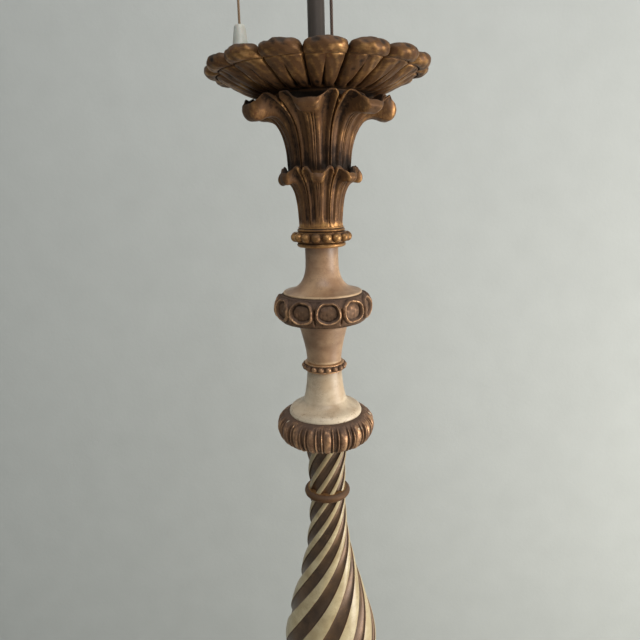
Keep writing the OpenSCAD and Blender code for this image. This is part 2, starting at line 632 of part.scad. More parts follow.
// Cluster: a turned body on the tube, and two hollow arms that carry the lampholders
holder_turn = [218.7, 38.7];
outlet_turn = [158.6, 135.7];
arm_start = cluster_r - 4;
module cluster_body() {
    z = cluster_z;
    urn = [[0.72, 0], [0.8, 0.06], [0.72, 0.14], [0.86, 0.24], [1, 0.36], [1, 0.64], [0.86, 0.76],
        [0.6, 0.86], [0.66, 0.93], [0.6, 1]];
    color(BRASS) difference() {
        turned(concat([[0, z]], placed(urn, 0, cluster_r, z, cluster_h), [[0, z + cluster_h]]));
        translate([0, 0, z - cut]) cylinder(r = tube_r + running_fit, h = tube_top_z - z + cut);
        translate([0, 0, tube_top_z - cut]) cylinder(r = tube_r + running_fit, h = 12 + cut);
        translate([0, 0, z + cluster_h - stud_bite]) cylinder(r = tube_r + running_fit, h = stud_bite + cut);
        for (a = holder_turn) rotate([0, 0, a]) translate([arm_start, 0, arm_z]) rotate([0, 90, 0])
            cylinder(r = arm_r + running_fit, h = cluster_r);
        for (a = holder_turn) rotate([0, 0, a]) translate([0, 0, arm_z]) rotate([0, 90, 0])
            cylinder(r = arm_bore_r, h = cluster_r);
    }
}
arm_bore_r = 3.5;
// A round bar that runs out from the stem and turns up to a lampholder
module elbow_bar(r, start, end_z) {
    far = holder_reach - arm_bend;
    translate([start, 0, arm_z]) rotate([0, 90, 0]) cylinder(r = r, h = far - start);
    translate([far, 0, arm_z + arm_bend]) rotate([90, 0, 0])
        rotate_extrude(angle = -90) translate([arm_bend, 0]) circle(r = r);
    translate([holder_reach, 0, arm_z + arm_bend]) cylinder(r = r, h = end_z - arm_z - arm_bend);
}
cup_floor_t = 1.5;
module cluster_arms() {
    color(BRASS) for (a = holder_turn) rotate([0, 0, a]) difference() {
        elbow_bar(arm_r, arm_start, holder_z + cup_floor_t);
        elbow_bar(arm_bore_r, arm_start - cut, holder_z + cup_floor_t + cut);
    }
}
arm_lead_r = 2.7;
module arm_leads() {
    color("#2e2a28") for (a = holder_turn) rotate([0, 0, a])
        elbow_bar(arm_lead_r, lead_r + 2.4, holder_z + cup_floor_t);
}

// Lampholders: cup, shell, ceramic insert, screw shell and contact
insert_h = 22;
insert_z = holder_z + cup_floor_t;
seat_z = insert_z + insert_h;
shell_z = holder_z + cup_h;
shell_top_z = shell_z + shell_h;
screw_shell_r = 14.2;
screw_wall = 0.5;
module at_holder(s) {
    rotate([0, 0, holder_turn[s]]) translate([holder_reach, 0, 0]) rotate([0, 0, -holder_turn[s]]) children();
}
module at_outlet(s) {
    at_holder(s) rotate([0, 0, outlet_turn[s]]) translate([outlet_reach, 0, 0]) children();
}
outlet_z = holder_z + 9;
neck_bar_r = 3.5;
module holder_cup(s) {
    inner = holder_r - holder_wall;
    color(BRASS) at_holder(s) difference() {
        turned([[arm_r + running_fit, holder_z], [holder_r - 5, holder_z], [holder_r - 1.5, holder_z + 1.5],
            [holder_r, holder_z + 5], [holder_r, shell_z], [inner, shell_z], [inner, holder_z + 5],
            [inner - 1, insert_z], [arm_r + running_fit, insert_z]]);
        rotate([0, 0, outlet_turn[s]]) translate([0, 0, outlet_z]) rotate([0, 90, 0])
            cylinder(r = neck_bar_r + glue_fit, h = holder_r + cut);
    }
}
module holder_cup_left() { holder_cup(0); }
module holder_cup_right() { holder_cup(1); }
module holder_shell(s) {
    inner = holder_r - holder_wall;
    z = shell_top_z;
    color(BRASS) at_holder(s) turned([[inner, shell_z], [holder_r, shell_z], [holder_r, z - 4],
        [holder_r + 0.9, z - 3], [holder_r + 0.9, z - 1], [holder_r, z], [inner - 2, z], [inner - 2, z - 1.2],
        [inner, z - 1.6]]);
}
module holder_shell_left() { holder_shell(0); }
module holder_shell_right() { holder_shell(1); }
module holder_insert(s) {
    body = holder_r - holder_wall - 1 - loose_fit;
    color(CERAMIC) at_holder(s) difference() {
        turned([[0, insert_z], [body - 2, insert_z], [body, insert_z + 4], [body, seat_z - 6],
            [screw_shell_r + 0.5, seat_z - 6], [screw_shell_r + 0.5, seat_z], [0, seat_z]]);
        rotate([0, 0, outlet_turn[s]]) translate([body - 4, 0, outlet_z]) rotate([0, 90, 0])
            cylinder(r = neck_bar_r + loose_fit, h = 6);
    }
}
module holder_insert_left() { holder_insert(0); }
module holder_insert_right() { holder_insert(1); }
screw_shell_h = 26;
cap_r = screw_shell_r - screw_wall - glue_fit;
contact_r = 4;
contact_h = 3;
module screw_shells() {
    color(BRASS) for (s = [0, 1]) at_holder(s) turned([[7, seat_z], [screw_shell_r, seat_z],
        [screw_shell_r, seat_z + screw_shell_h], [screw_shell_r - screw_wall, seat_z + screw_shell_h],
        [screw_shell_r - screw_wall, seat_z + screw_wall], [7, seat_z + screw_wall]]);
}
module centre_contacts() {
    color(BRASS) for (s = [0, 1])
        at_holder(s) translate([0, 0, seat_z]) cylinder(r = contact_r, h = contact_h);
}

// Pull switches: a bush on the side of the cup, in which a headed plunger slides down
bush_h = 16;
bush_low_z = outlet_z - bush_h / 2;
throat_h = 3;
head_h = 2;
head_r = plunger_r + 1;
chamber_h = pull_travel + head_h + 1;
module switch_bush(s) {
    top_z = bush_low_z + throat_h + chamber_h;
    color(BRASS) at_outlet(s) difference() {
        union() {
            turned([[0, bush_low_z], [bush_r - 1.4, bush_low_z], [bush_r, bush_low_z + 1.6],
                [bush_r, top_z + 1], [bush_r - 1.4, top_z + 2], [0, top_z + 2]]);
            translate([holder_r - outlet_reach - 4, 0, outlet_z]) rotate([0, 90, 0])
                cylinder(r = neck_bar_r, h = outlet_reach - holder_r + 4);
        }
        translate([0, 0, bush_low_z - cut]) cylinder(r = plunger_r + running_fit, h = throat_h + 2 * cut);
        translate([0, 0, bush_low_z + throat_h]) cylinder(r = head_r + loose_fit, h = chamber_h);
    }
}
module switch_bush_left() { switch_bush(0); }
module switch_bush_right() { switch_bush(1); }
plunger_low_z = bush_low_z - 5;
module plunger(s) {
    top_z = bush_low_z + throat_h + chamber_h - 0.3;
    color(BRASS) at_outlet(s) turned([[0, plunger_low_z], [plunger_r, plunger_low_z],
        [plunger_r, top_z - head_h], [head_r, top_z - head_h], [head_r, top_z], [0, top_z]]);
}
module plunger_left() { plunger(0); }
module plunger_right() { plunger(1); }

// Pull cords: hand-placed points, with heights from the floor and small natural wanderings
left_route = [[0, 0, 1586], [0, 0, 1577], [0, 0, 1568], [0.2, 0, 1558], [0.4, 0.1, 1547],
    [0.5, 0.2, 1536], [0.5, 0.3, 1525], [0.4, 0.3, 1514], [0.2, 0.3, 1503], [0, 0.2, 1492],
    [-0.2, 0.1, 1481], [-0.3, 0, 1470], [-0.3, -0.1, 1459], [-0.2, -0.1, 1448], [-0.1, 0, 1437],
    [0, 0, 1427], [0, 0, 1417]];
right_route = [[0, 0, 1586], [0, 0, 1577], [0, 0, 1568], [-0.1, 0.1, 1558], [-0.2, 0.2, 1547],
    [-0.3, 0.3, 1536], [-0.3, 0.4, 1525], [-0.2, 0.4, 1514], [-0.1, 0.3, 1503], [0.1, 0.2, 1492],
    [0.2, 0.1, 1481], [0.3, 0, 1470], [0.3, 0, 1459], [0.2, 0, 1448], [0.1, 0, 1437],
    [0, 0, 1427], [0, 0, 1417]];
cord_sides = 8;
cord_half = 180 / cord_sides;
module hung_cord(route, r) {
    ringed([for (p = [for (i = [len(route) - 1 : -1 : 0]) route[i]])
        [for (k = [0 : cord_sides - 1]) let (a = k * 2 * cord_half)
            [p[0] + r * cos(a) / cos(cord_half), p[1] + r * sin(a) / cos(cord_half), p[2]]]]);
}
module pull_cord_left() { color("#8a6f52") at_outlet(0) hung_cord(left_route, left_cord_r); }
module pull_cord_right() { color("#3a2c24") at_outlet(1) hung_cord(right_route, right_cord_r); }
module cone_pull(s, top_z) {
    bell = [[0.3, 0], [0.84, 0], [0.98, 0.04], [1, 0.12], [0.93, 0.3], [0.8, 0.56], [0.68, 0.78],
        [0.58, 0.92], [0.5, 1]];
    color("#b9bab0") at_outlet(s) turned(concat([[0, top_z - pull_h]],
        placed(bell, 0, pull_r, top_z - pull_h, pull_h), [[0, top_z]]));
}
module pull_left() { cone_pull(0, left_route[len(left_route) - 1][2]); }
module pull_right() { cone_pull(1, right_route[len(right_route) - 1][2]); }

// Bulbs, each with a metal cap in the screw shell and a blown glass
cap_z = seat_z + contact_h;
cap_h = 26;
glass_z = cap_z + cap_h;
glass_t = 0.8;
module bulb_caps() {
    color(STEEL) for (s = [0, 1]) at_holder(s) turned([[0, cap_z], [4.5, cap_z], [6, cap_z + 2],
        [cap_r, cap_z + 5], [cap_r, glass_z], [0, glass_z]]);
}
module bulb_glasses() {
    neck = 12;
    pear = curve([[neck, 0], [neck + 1, 0.32], [bulb_r, 0.3], [bulb_r, 0.62]], 8);
    dome = curve([[bulb_r, 0.62], [bulb_r, 0.83], [bulb_r * 0.55, 1], [0, 1]], 8);
    skin = concat(pear, [for (i = [1 : 8]) dome[i]]);
    color("#e9e4d8") for (s = [0, 1]) at_holder(s) turned(concat(
        [for (p = skin) [p[0], glass_z + bulb_h * p[1]]],
        [for (i = [len(skin) - 1 : -1 : 0]) let (share = 1 - glass_t / bulb_r, p = skin[i])
            [p[0] * share, glass_z + glass_t + (bulb_h - 2 * glass_t) * p[1]]],
        [[0, glass_z + glass_t], [0, glass_z]]));
}

// Shade stud: it screws into the cluster, carries a round seat and ends in a bare pin
stud_bite = 8;
module shade_stud() {
    z0 = cluster_z + cluster_h - stud_bite;
    seat_t = 4;
    color(BRASS) turned([[0, z0], [tube_r, z0], [tube_r, shade_seat_z - seat_t - 3],
        [shade_seat_r - 1, shade_seat_z - seat_t], [shade_seat_r, shade_seat_z - seat_t + 1],
        [shade_seat_r, shade_seat_z - 1], [shade_seat_r - 1, shade_seat_z],
        [tube_r, shade_seat_z], [tube_r, shade_seat_z + stud_h - 1], [tube_r - 1, shade_seat_z + stud_h],
        [0, shade_seat_z + stud_h]]);
}

felt_pads();
bun_feet();
foot_screws();
plinth();
base_cover();
cover_screws();
inlet_bush();
base_lobed_ring();
terminal_block();
base_washer();
base_nut();
base_bell();
base_bead_ring();
base_neck();
lower_medallion_ring();
lower_spool();
lower_lobed_ring();
shaft_foot();
lower_shaft_ring();
twisted_shaft();
upper_shaft_ring();
shaft_top();
upper_lobed_ring();
lower_neck();
small_bead_ring();
middle_neck();
medallion_ring();
upper_neck();
bead_collar();
leaf_cup();
leaf_capital();
drip_pan();
centre_tube();
pan_washer();
pan_nut();
stem_tube();
inner_lead();
cluster_body();
cluster_arms();
arm_leads();
holder_cup_left();
holder_cup_right();
holder_shell_left();
holder_shell_right();
holder_insert_left();
holder_insert_right();
screw_shells();
centre_contacts();
switch_bush_left();
switch_bush_right();
plunger_left();
plunger_right();
pull_cord_left();
pull_cord_right();
pull_left();
pull_right();
bulb_caps();
bulb_glasses();
shade_stud();
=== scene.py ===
# %% [markdown]
# # A giltwood floor lamp
# The lamp is a stack of turned and carved wooden pieces on one long threaded tube. The CAD model gives the
# frame: every piece below is made in metres, in the same place as the solid that it stands for.

# %% Load the frame
import math

import bpy
import numpy as np
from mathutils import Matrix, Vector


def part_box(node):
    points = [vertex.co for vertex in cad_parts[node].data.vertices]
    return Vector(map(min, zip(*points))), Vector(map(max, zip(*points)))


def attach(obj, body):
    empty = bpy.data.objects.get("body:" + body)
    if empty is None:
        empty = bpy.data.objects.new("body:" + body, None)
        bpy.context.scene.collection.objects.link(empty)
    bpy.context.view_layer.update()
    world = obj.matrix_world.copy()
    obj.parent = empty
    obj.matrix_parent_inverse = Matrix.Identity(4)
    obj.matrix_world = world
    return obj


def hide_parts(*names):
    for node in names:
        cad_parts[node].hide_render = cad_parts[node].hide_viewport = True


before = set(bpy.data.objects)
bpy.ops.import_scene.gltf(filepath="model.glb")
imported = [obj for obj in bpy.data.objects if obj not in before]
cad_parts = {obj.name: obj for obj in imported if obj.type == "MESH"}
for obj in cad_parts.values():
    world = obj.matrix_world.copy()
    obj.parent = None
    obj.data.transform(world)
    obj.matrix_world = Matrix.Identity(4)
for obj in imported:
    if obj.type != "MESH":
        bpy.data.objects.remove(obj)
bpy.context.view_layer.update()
MM = 0.001
TAU = 2 * math.pi
print("CAD nodes:", len(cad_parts))

# %% [markdown]
# ## Camera
# The photograph was taken from half a metre away, a little above the middle of what it shows, with the
# camera tipped down by 13 degrees and turned by one and a half. The lens is given for a 36 mm sensor.

# %% Camera
from mathutils import Matrix, Vector

SENSOR = 36
PHOTO_WIDTH_PX = 640
FOCAL_LENGTH_PX = 540
CAMERA_PLACE = (-0.0035, -0.551, 1.270)
TIPPED_DOWN = 13.35
TURNED_LEFT = 1.46
camera_data = bpy.data.cameras.new("photo_camera")
camera_data.sensor_width = SENSOR
camera_data.lens = SENSOR * FOCAL_LENGTH_PX / PHOTO_WIDTH_PX
camera_data.clip_start = 0.02
camera = bpy.data.objects.new("photo_camera", camera_data)
bpy.context.scene.collection.objects.link(camera)
camera.matrix_world = (Matrix.Translation(CAMERA_PLACE)
                       @ Matrix.Rotation(math.radians(90 - TIPPED_DOWN), 4, "X")
                       @ Matrix.Rotation(math.radians(-TURNED_LEFT), 4, "Z"))
bpy.context.scene.camera = camera
print("camera at", tuple(round(c, 3) for c in camera.matrix_world.translation))


# %% [markdown]
# ## First helpers
# An operator acts on everything that is selected, so each piece starts from an empty selection. Heights
# come from the frame: `seat` is where the solid of a node starts, in millimetres above the floor.

# %% Selection and heights
def deselect():
    if bpy.context.object and bpy.context.object.mode != "OBJECT":
        bpy.ops.object.mode_set(mode="OBJECT")
    bpy.ops.object.select_all(action="DESELECT")


def take(*pieces):
    deselect()
    for piece in pieces:
        piece.select_set(True)
    bpy.context.view_layer.objects.active = pieces[0]
    return pieces[0]


def seat(node):
    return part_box(node)[0].z / MM


def place(piece, finish, node, body="root"):
    piece.data.materials.clear()
    piece.data.materials.append(finish)
    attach(piece, body)
    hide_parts(node)
    print(piece.name, "stands for", node, "with", len(getattr(piece.data, "polygons", ())), "faces")
    return piece


# %% [markdown]
# ## Pull cords
# Each lampholder has a pull switch, and its cord hangs straight down into the pan's dish. A real cord is
# never quite straight, so the route wanders by half a millimetre. The points are those of the CAD solids.

# %% Two hanging cords
# For each side, in degrees: the way from the stem to its holder, and from there to the switch's outlet
HOLDER_WAYS = ((218.7, 158.6), (38.7, 135.7))
HOLDER_REACH = 50
OUTLET_REACH = 32
THIN_CORD, THICK_CORD = 2.2, 3.2
LEFT_WANDER = ((0, 0), (0, 0), (0, 0), (.2, 0), (.4, .1), (.5, .2), (.5, .3), (.4, .3), (.2, .3), (0, .2),
               (-.2, .1), (-.3, 0), (-.3, -.1), (-.2, -.1), (-.1, 0), (0, 0), (0, 0))
RIGHT_WANDER = ((0, 0), (0, 0), (0, 0), (-.1, .1), (-.2, .2), (-.3, .3), (-.3, .4), (-.2, .4), (-.1, .3),
                (.1, .2), (.2, .1), (.3, 0), (.3, 0), (.2, 0), (.1, 0), (0, 0), (0, 0))
CORD_HEIGHTS = (1586, 1577, 1568, 1558, 1547, 1536, 1525, 1514, 1503, 1492, 1481, 1470, 1459, 1448, 1437,
                1427, 1417)


def cord_route(side, wander):
    """The points of a cord in metres: out from the stem to the holder, then on to the switch's outlet"""
    reach, outlet = (math.radians(a) for a in HOLDER_WAYS[side])
    points = []
    for (along, across), height in zip(wander, CORD_HEIGHTS):
        along += OUTLET_REACH
        x = HOLDER_REACH * math.cos(reach) + along * math.cos(outlet) - across * math.sin(outlet)
        y = HOLDER_REACH * math.sin(reach) + along * math.sin(outlet) + across * math.cos(outlet)
        points.append((x * MM, y * MM, height * MM))
    return points


def hang(name, points, radius):
    deselect()
    line = bpy.data.curves.new(name, "CURVE")
    line.dimensions = "3D"
    line.bevel_depth = radius
    line.bevel_resolution = 5
    line.use_fill_caps = True
    run = line.splines.new("BEZIER")
    run.bezier_points.add(len(points) - 1)
    for knot, point in zip(run.bezier_points, points):
        knot.co = point
        knot.handle_left_type = knot.handle_right_type = "AUTO"
    cord = bpy.data.objects.new(name, line)
    bpy.context.scene.collection.objects.link(cord)
    return cord


left_points, right_points = cord_route(0, LEFT_WANDER), cord_route(1, RIGHT_WANDER)
left_cord = hang("cord_left", left_points, THIN_CORD / 2 * MM)
right_cord = hang("cord_right", right_points, THICK_CORD / 2 * MM)
print("cords end at", [tuple(round(c, 4) for c in p[-1]) for p in (left_points, right_points)])


# %% [markdown]
# ## Turning on a lathe
# A turned piece is an outline spun round the axis. The outline starts as a circle of vertices, which are
# then moved onto the drawn profile, and a screw modifier without any climb turns it. Each vertex keeps the
# number of its place on the outline in the attribute `row`, so a carved piece can be worked from the turned
# blank afterwards.

# %% Lathe
def bend(p, n):
    """n + 1 points on the curve that four handles give"""
    t = np.linspace(0, 1, n + 1)[:, None]
    p = np.array(p, float)
    return (1 - t) ** 3 * p[0] + 3 * (1 - t) ** 2 * t * p[1] + 3 * (1 - t) * t * t * p[2] + t ** 3 * p[3]


def spline(points, n):
    """n + 1 points on a smooth curve through the given ones, evenly from knot to knot"""
    p = np.array(points, float)
    slope = np.gradient(p, axis=0)
    t = np.linspace(0, len(p) - 1, n + 1)
    i = np.minimum(t.astype(int), len(p) - 2)
    s = (t - i)[:, None]
    return ((2 * s ** 3 - 3 * s ** 2 + 1) * p[i] + (s ** 3 - 2 * s ** 2 + s) * slope[i]
            + (3 * s ** 2 - 2 * s ** 3) * p[i + 1] + (s ** 3 - s ** 2) * slope[i + 1])


def arc(r, z0, z1, proud, n=12):
    """A half-round moulding on the radius r"""
    t = np.linspace(0, math.pi, n + 1)
    return np.stack([r + proud * np.sin(t), z0 + (z1 - z0) * (1 - np.cos(t)) / 2], 1)


def lifted(outline, z):
    """An outline whose heights count from the seat, moved up to the seat's height z"""
    return [(r, z + h) for r, h in outline]


BORE = 5.3


def bored(outline):
    """Closes an outline that climbs the outside through the bore for the tube"""
    return [(BORE, outline[0][1]), *outline, (BORE, outline[-1][1])]


def mark(mesh, name, values):
    """Writes one value for each vertex"""
    made = mesh.attributes.get(name) or mesh.attributes.new(name, "FLOAT", "POINT")
    made.data.foreach_set("value", values)


def turn(name, outline, steps=144):
    """Spins a closed outline of (radius, height) in millimetres and returns the blank"""
    deselect()
    bpy.ops.mesh.primitive_circle_add(vertices=len(outline))
    blank = bpy.context.object
    blank.name = blank.data.name = name
    blank.data.vertices.foreach_set("co", np.array([(r * MM, 0, z * MM) for r, z in outline]).ravel())
    mark(blank.data, "row", np.arange(len(outline), dtype=float))
    lathe = blank.modifiers.new("lathe", "SCREW")
    lathe.axis, lathe.angle, lathe.screw_offset = "Z", TAU, 0
    lathe.steps = lathe.render_steps = steps
    bpy.ops.object.modifier_apply(modifier=lathe.name)
    bpy.ops.object.mode_set(mode="EDIT")
    bpy.ops.mesh.select_all(action="SELECT")
    bpy.ops.mesh.normals_make_consistent(inside=False)
    bpy.ops.object.mode_set(mode="OBJECT")
    return blank


def soften(piece, width, angle=38):
    """Breaks the edges sharper than angle, as sanding and a coat of gesso do, and shades the rest smooth"""
    take(piece)
    if width:
        edge = piece.modifiers.new("edges", "BEVEL")
        edge.width = width * MM
        edge.segments = 2
        edge.limit_method = "ANGLE"
        edge.angle_limit = math.radians(angle)
        bpy.ops.object.modifier_apply(modifier=edge.name)
    bpy.ops.object.shade_smooth_by_angle(angle=math.radians(60))
    return piece


def set_down(piece, x, y):
    """Moves a piece from the axis to its place and puts the place into its mesh"""
    take(piece)
    piece.location = (x, y, 0)
    bpy.ops.object.transform_apply(location=True, rotation=False, scale=False)
    return piece


# %% [markdown]
# ## Crests and hollows
# Old gilding is rubbed bright on its crests and dark with grime in its hollows, and the finishes also paint
# a highlight on the crests and paint the shade that falls in cuts, creases and recesses into the hollows.
# The mesh is softened step by step in memory; where the real surface lies under the softened one it is a
# hollow, where it stands proud it is a crest. The result goes into the attribute `hollow`, which the
# finishes read: -1 on the sharpest crests and a little over a half in the deepest hollows, because a finish
# turns quite black past that.

# %% Hollows and crests
SHARPEST_CREST, DEEPEST_HOLLOW = -1, 0.55


def places(mesh):
    """The places of the vertices in metres, a row for each"""
    co = np.empty(len(mesh.vertices) * 3)
    mesh.vertices.foreach_get("co", co)
    return co.reshape(-1, 3)


def rows_of(mesh):
    row = np.empty(len(mesh.vertices))
    mesh.attributes["row"].data.foreach_get("value", row)
    return row


def mark_crests_and_hollows(piece, passes=14, full=0.7):
    """Softens the mesh so many times, and counts so many millimetres as a full hollow"""
    mesh = piece.data
    count = len(mesh.vertices)
    start = places(mesh)
    edges = np.empty(len(mesh.edges) * 2, np.int32)
    mesh.edges.foreach_get("vertices", edges)
    edges = edges.reshape(-1, 2)
    ends = np.concatenate([edges, edges[:, ::-1]])
    share = np.maximum(np.bincount(ends[:, 0], minlength=count), 1)[:, None]
    soft = start.copy()
    for _ in range(passes):
        near = [np.bincount(ends[:, 0], weights=soft[ends[:, 1], axis], minlength=count)
                for axis in range(3)]
        soft = 0.4 * soft + 0.6 * np.stack(near, 1) / share
    normals = np.empty(count * 3)
    mesh.vertex_normals.foreach_get("vector", normals)
    depth = ((soft - start) * normals.reshape(-1, 3)).sum(1) / (full * MM)
    # The finishes paint rubbed gold with a painted highlight on the crests, and grime with painted shade in
    # the hollows
    mark(mesh, "hollow", np.clip(depth, SHARPEST_CREST, DEEPEST_HOLLOW))
    return piece


def soil_and_shade(piece, *bands, inner=None):
    """Darkening in the attribute `grime_and_shade`: real dirt on some pieces, and painted shade where a
    piece runs under or into another. Each band is (height of full darkening, height of none, how much) in
    millimetres, and inner is (row of none, row of full darkening, how much) on an outline"""
    z = places(piece.data)[:, 2] / MM
    dirt_and_shade = np.zeros(len(z))
    for full, none, much in bands:
        t = np.clip((z - none) / (full - none), 0, 1)
        dirt_and_shade = np.maximum(dirt_and_shade, much * t * t * (3 - 2 * t))
    if inner:
        none, full, much = inner
        dirt_and_shade = np.maximum(dirt_and_shade, much * np.clip((rows_of(piece.data) - none) / (full - none), 0, 1))
    # Dirt and painted shade go into one attribute
    mark(piece.data, "grime_and_shade", dirt_and_shade)
    return piece


# %% [markdown]
# ## Carving a blank
# The carver works every ring of the blank to the same pattern, so one `form` gives a whole piece. It gets
# the share of the pitch (0 in the middle of a leaf or lobe, a half at its edge), the number of the leaf and
# the row of the outline, and answers with the radius, the height and a small turn. The columns stand closer
# where a cut is sharp. In the forms f is the share, x the share without its sign, q the row's place among
# the drawn points and d how far the surface moves outwards.

# %% Carver
def both_ways(*shares):
    """Columns from -0.5 up to just under 0.5, given one half from 0 to 0.5"""
    half = sorted(shares)
    return np.array([-s for s in half[:0:-1]] + [s for s in half if s < 0.5])


def carve(name, count, shares, outline, form, start):
    columns = count * len(shares)
    blank = turn(name, outline, columns)
    mesh = blank.data
    x, y = places(mesh)[:, :2].T
    column = np.rint(np.arctan2(y, x) / TAU * columns).astype(int) % columns
    lobe, f = column // len(shares), shares[column % len(shares)]
    r, z, swing = form(f, lobe, rows_of(mesh).astype(int))
    a = np.radians(start + (lobe + f) * 360 / count + swing)
    mesh.vertices.foreach_set("co", np.stack([r * np.cos(a), r * np.sin(a), z], 1).ravel() * MM)
    mesh.update()
    return blank


def facing(degrees):
    """Turns an angle from the front, towards the right, into one round the axis"""
    return degrees - 90


def sides(outline):
    """The outward directions of an outline, row by row"""
    p = np.array(outline, float)
    along = np.roll(p, -1, 0) - np.roll(p, 1, 0)
    out = np.stack([along[:, 1], -along[:, 0]], 1)
    return out / np.maximum(np.hypot(*out.T), 1e-9)[:, None]


def notch(distance, width):
    """A soft cut: 1 in its middle and nothing a few widths away"""
    return np.exp(-(distance / width) ** 2)


def ease(x, low, high):
    t = np.clip((x - low) / (high - low), 0, 1)
    return t * t * (3 - 2 * t)


def chance(number, seed):
    """A fixed pseudo-random share for each number, so that no two leaves are cut quite alike"""
    return (np.sin((number + 1) * 12.9898 + seed * 78.233) * 43758.5453) % 1


# %% [markdown]
# ## Materials
# Each finish starts from what the real one is. One helper adds a node with its settings and links, and one
# function turns the written sRGB colours into the linear ones that Blender works in. The spots of a noise
# are 1 / Scale across, in metres, so each Scale is worked out from the size of the real spots in
# millimetres.

# %% Material helpers
def rgb(code):
    value = [int(code[i:i + 2], 16) / 255 for i in (1, 3, 5)]
    return (*[c / 12.92 if c <= 0.04045 else ((c + 0.055) / 1.055) ** 2.4 for c in value], 1.0)


def add(tree, kind, inputs=None, stops=None, **settings):
    """Adds a node, sets or links its inputs and returns its outputs"""
    made = tree.nodes.new("ShaderNode" + kind)
    for name, value in settings.items():
        setattr(made, name, value)
    for n, (stop, code) in enumerate(stops or ()):
        ramp = made.color_ramp.elements
        element = ramp[n] if n in (0, len(stops) - 1) else ramp.new(stop)
        element.position, element.color = stop, rgb(code)
    for name, value in (inputs or {}).items():
        if isinstance(value, bpy.types.NodeSocket):
            tree.links.new(value, made.inputs[name])
        else:
            made.inputs[name].default_value = value
    return made.outputs


def finish_of(name):
    """An empty material, its tree and the place on the object that its patterns follow"""
    material = bpy.data.materials.new(name)
    material.use_nodes = True
    material.node_tree.nodes.clear()
    return material, material.node_tree, add(material.node_tree, "TexCoord")["Object"]


def weigh(tree, *rules):
    """How strongly a layer shows. Each rule is (value, where there is none of it, where it is full), and
    may add two numbers that stand for none and full in place of 0 and 1. The shares are multiplied"""
    share = None
    for value, none, full, *ends in rules:
        part = add(tree, "MapRange", {0: value, 1: none, 2: full, **dict(enumerate(ends, 3))})[0]
        share = add(tree, "Math", {0: share, 1: part}, operation="MULTIPLY")[0] if share else part
    return share


def surface(material, tree, inputs, bumps):
    """Chains the bumps, each (height, millimetres deep, strength), and ends the tree in one shader"""
    for height, deep, strength in bumps:
        bump = {"Height": height, "Distance": deep * MM, "Strength": strength}
        if "Normal" in inputs:
            bump["Normal"] = inputs["Normal"]
        inputs = {**inputs, "Normal": add(tree, "Bump", bump)[0]}
    add(tree, "OutputMaterial", {"Surface": add(tree, "BsdfPrincipled", inputs)[0]})
    return material


# %% [markdown]
# ### Aged water gilding
# Gold leaf over red clay and gesso, toned down with a brown glaze. The glaze has taken most of the shine:
# brown on the flats, warm and bright on the rubbed crests, which also carry a painted highlight, and nearly
# black in the cuts, where grime and painted shade lie together, with grey dust where it can settle. In a
# few places a chip bares the pale gesso.

# %% Aged water gilding
def aged_gilding(name, crest, rub, flat, low="#3A291C", dust="#706359", dusty=0.5, chips=0.0, cloudy=0.16,
                 along=(1, 1, 0.12), dents_mm=7.692):
    """along is small on the axes on which the traces of the brush and the carving tools are long"""
    material, tree, at = finish_of(name)
    hollow, grime_and_shade = (add(tree, "Attribute", attribute_name=kept)["Fac"] for kept in ("hollow", "grime_and_shade"))
    stretched = add(tree, "Mapping", {"Vector": at, "Scale": along})[0]
    traces, cloud, speck, clay, bare, dents = (
        add(tree, "TexNoise", {"Vector": where, "Scale": 1 / (size * MM), "Detail": detail,
                               "Roughness": rough})[0]
        for where, size, detail, rough in (
            (stretched, 2.632, 4, 0.6), (at, 23.81, 5, 0.55), (at, 2.381, 3, 0.6), (at, 4.762, 4, 0.7),
            (at, 10.53, 4, 0.6), (at, dents_mm, 4, 0.55)))
    # The level is low on the crests, where the gold is rubbed bright and a highlight is painted, and high
    # where the glaze, the grime and the painted shade in hollows and under the pan are thick
    level = add(tree, "Math", {0: hollow, 1: 0.52, 2: 0.49}, operation="MULTIPLY_ADD")[0]
    level = add(tree, "Math", {0: grime_and_shade, 1: 0.5, 2: level}, operation="MULTIPLY_ADD")[0]
    for pattern, much in ((traces, 0.12), (cloud, cloudy), (speck, 0.06)):
        change = weigh(tree, (pattern, 0.3, 0.7, -much, much))
        level = add(tree, "Math", {0: change, 1: level}, operation="ADD")[0]
    # The crest colour is rubbed gold with a painted highlight; the two darkest colours are grime with
    # painted shade
    tone = add(tree, "ValToRGB", {0: level}, [(0.05, crest), (0.25, rub), (0.42, flat), (0.55, flat),
                                              (0.74, low), (0.95, "#1C1209")])[0]
    # Red clay shows in small spots where the leaf is rubbed away, and dust settles on what faces up
    bole = weigh(tree, (clay, 0.56, 0.68, 0, 0.5), (level, 0.65, 0.4))
    up = add(tree, "SeparateXYZ", {0: add(tree, "NewGeometry")["Normal"]})["Z"]
    settled = weigh(tree, (up, 0.15, 0.8), (cloud, 0.3, 0.62, 0.6, 1), (level, 0.15, 0.4, 0, dusty))
    chip = weigh(tree, (bare, 0.68, 0.71), (level, 0.42, 0.3, 0, chips))
    for share, colour in ((bole, "#5E3524"), (settled, dust), (chip, "#CDBFA6")):
        tone = add(tree, "Mix", {0: share, 6: tone, 7: rgb(colour)}, data_type="RGBA")[2]
    metal = weigh(tree, (level, 0.6, 0.1, 0.1, 0.6), (settled, 0, 0.5, 1, 0.1), (chip, 0, 1, 1, 0))
    rough = add(tree, "Math", {0: settled, 1: 0.4, 2: weigh(tree, (level, 0.05, 0.8, 0.36, 0.62))},
                operation="MULTIPLY_ADD")[0]
    return surface(material, tree, {"Base Color": tone, "Metallic": metal, "Roughness": rough,
                                    "Specular IOR Level": 0.15}, [(dents, 0.5, 0.4), (speck, 0.15, 0.4)])


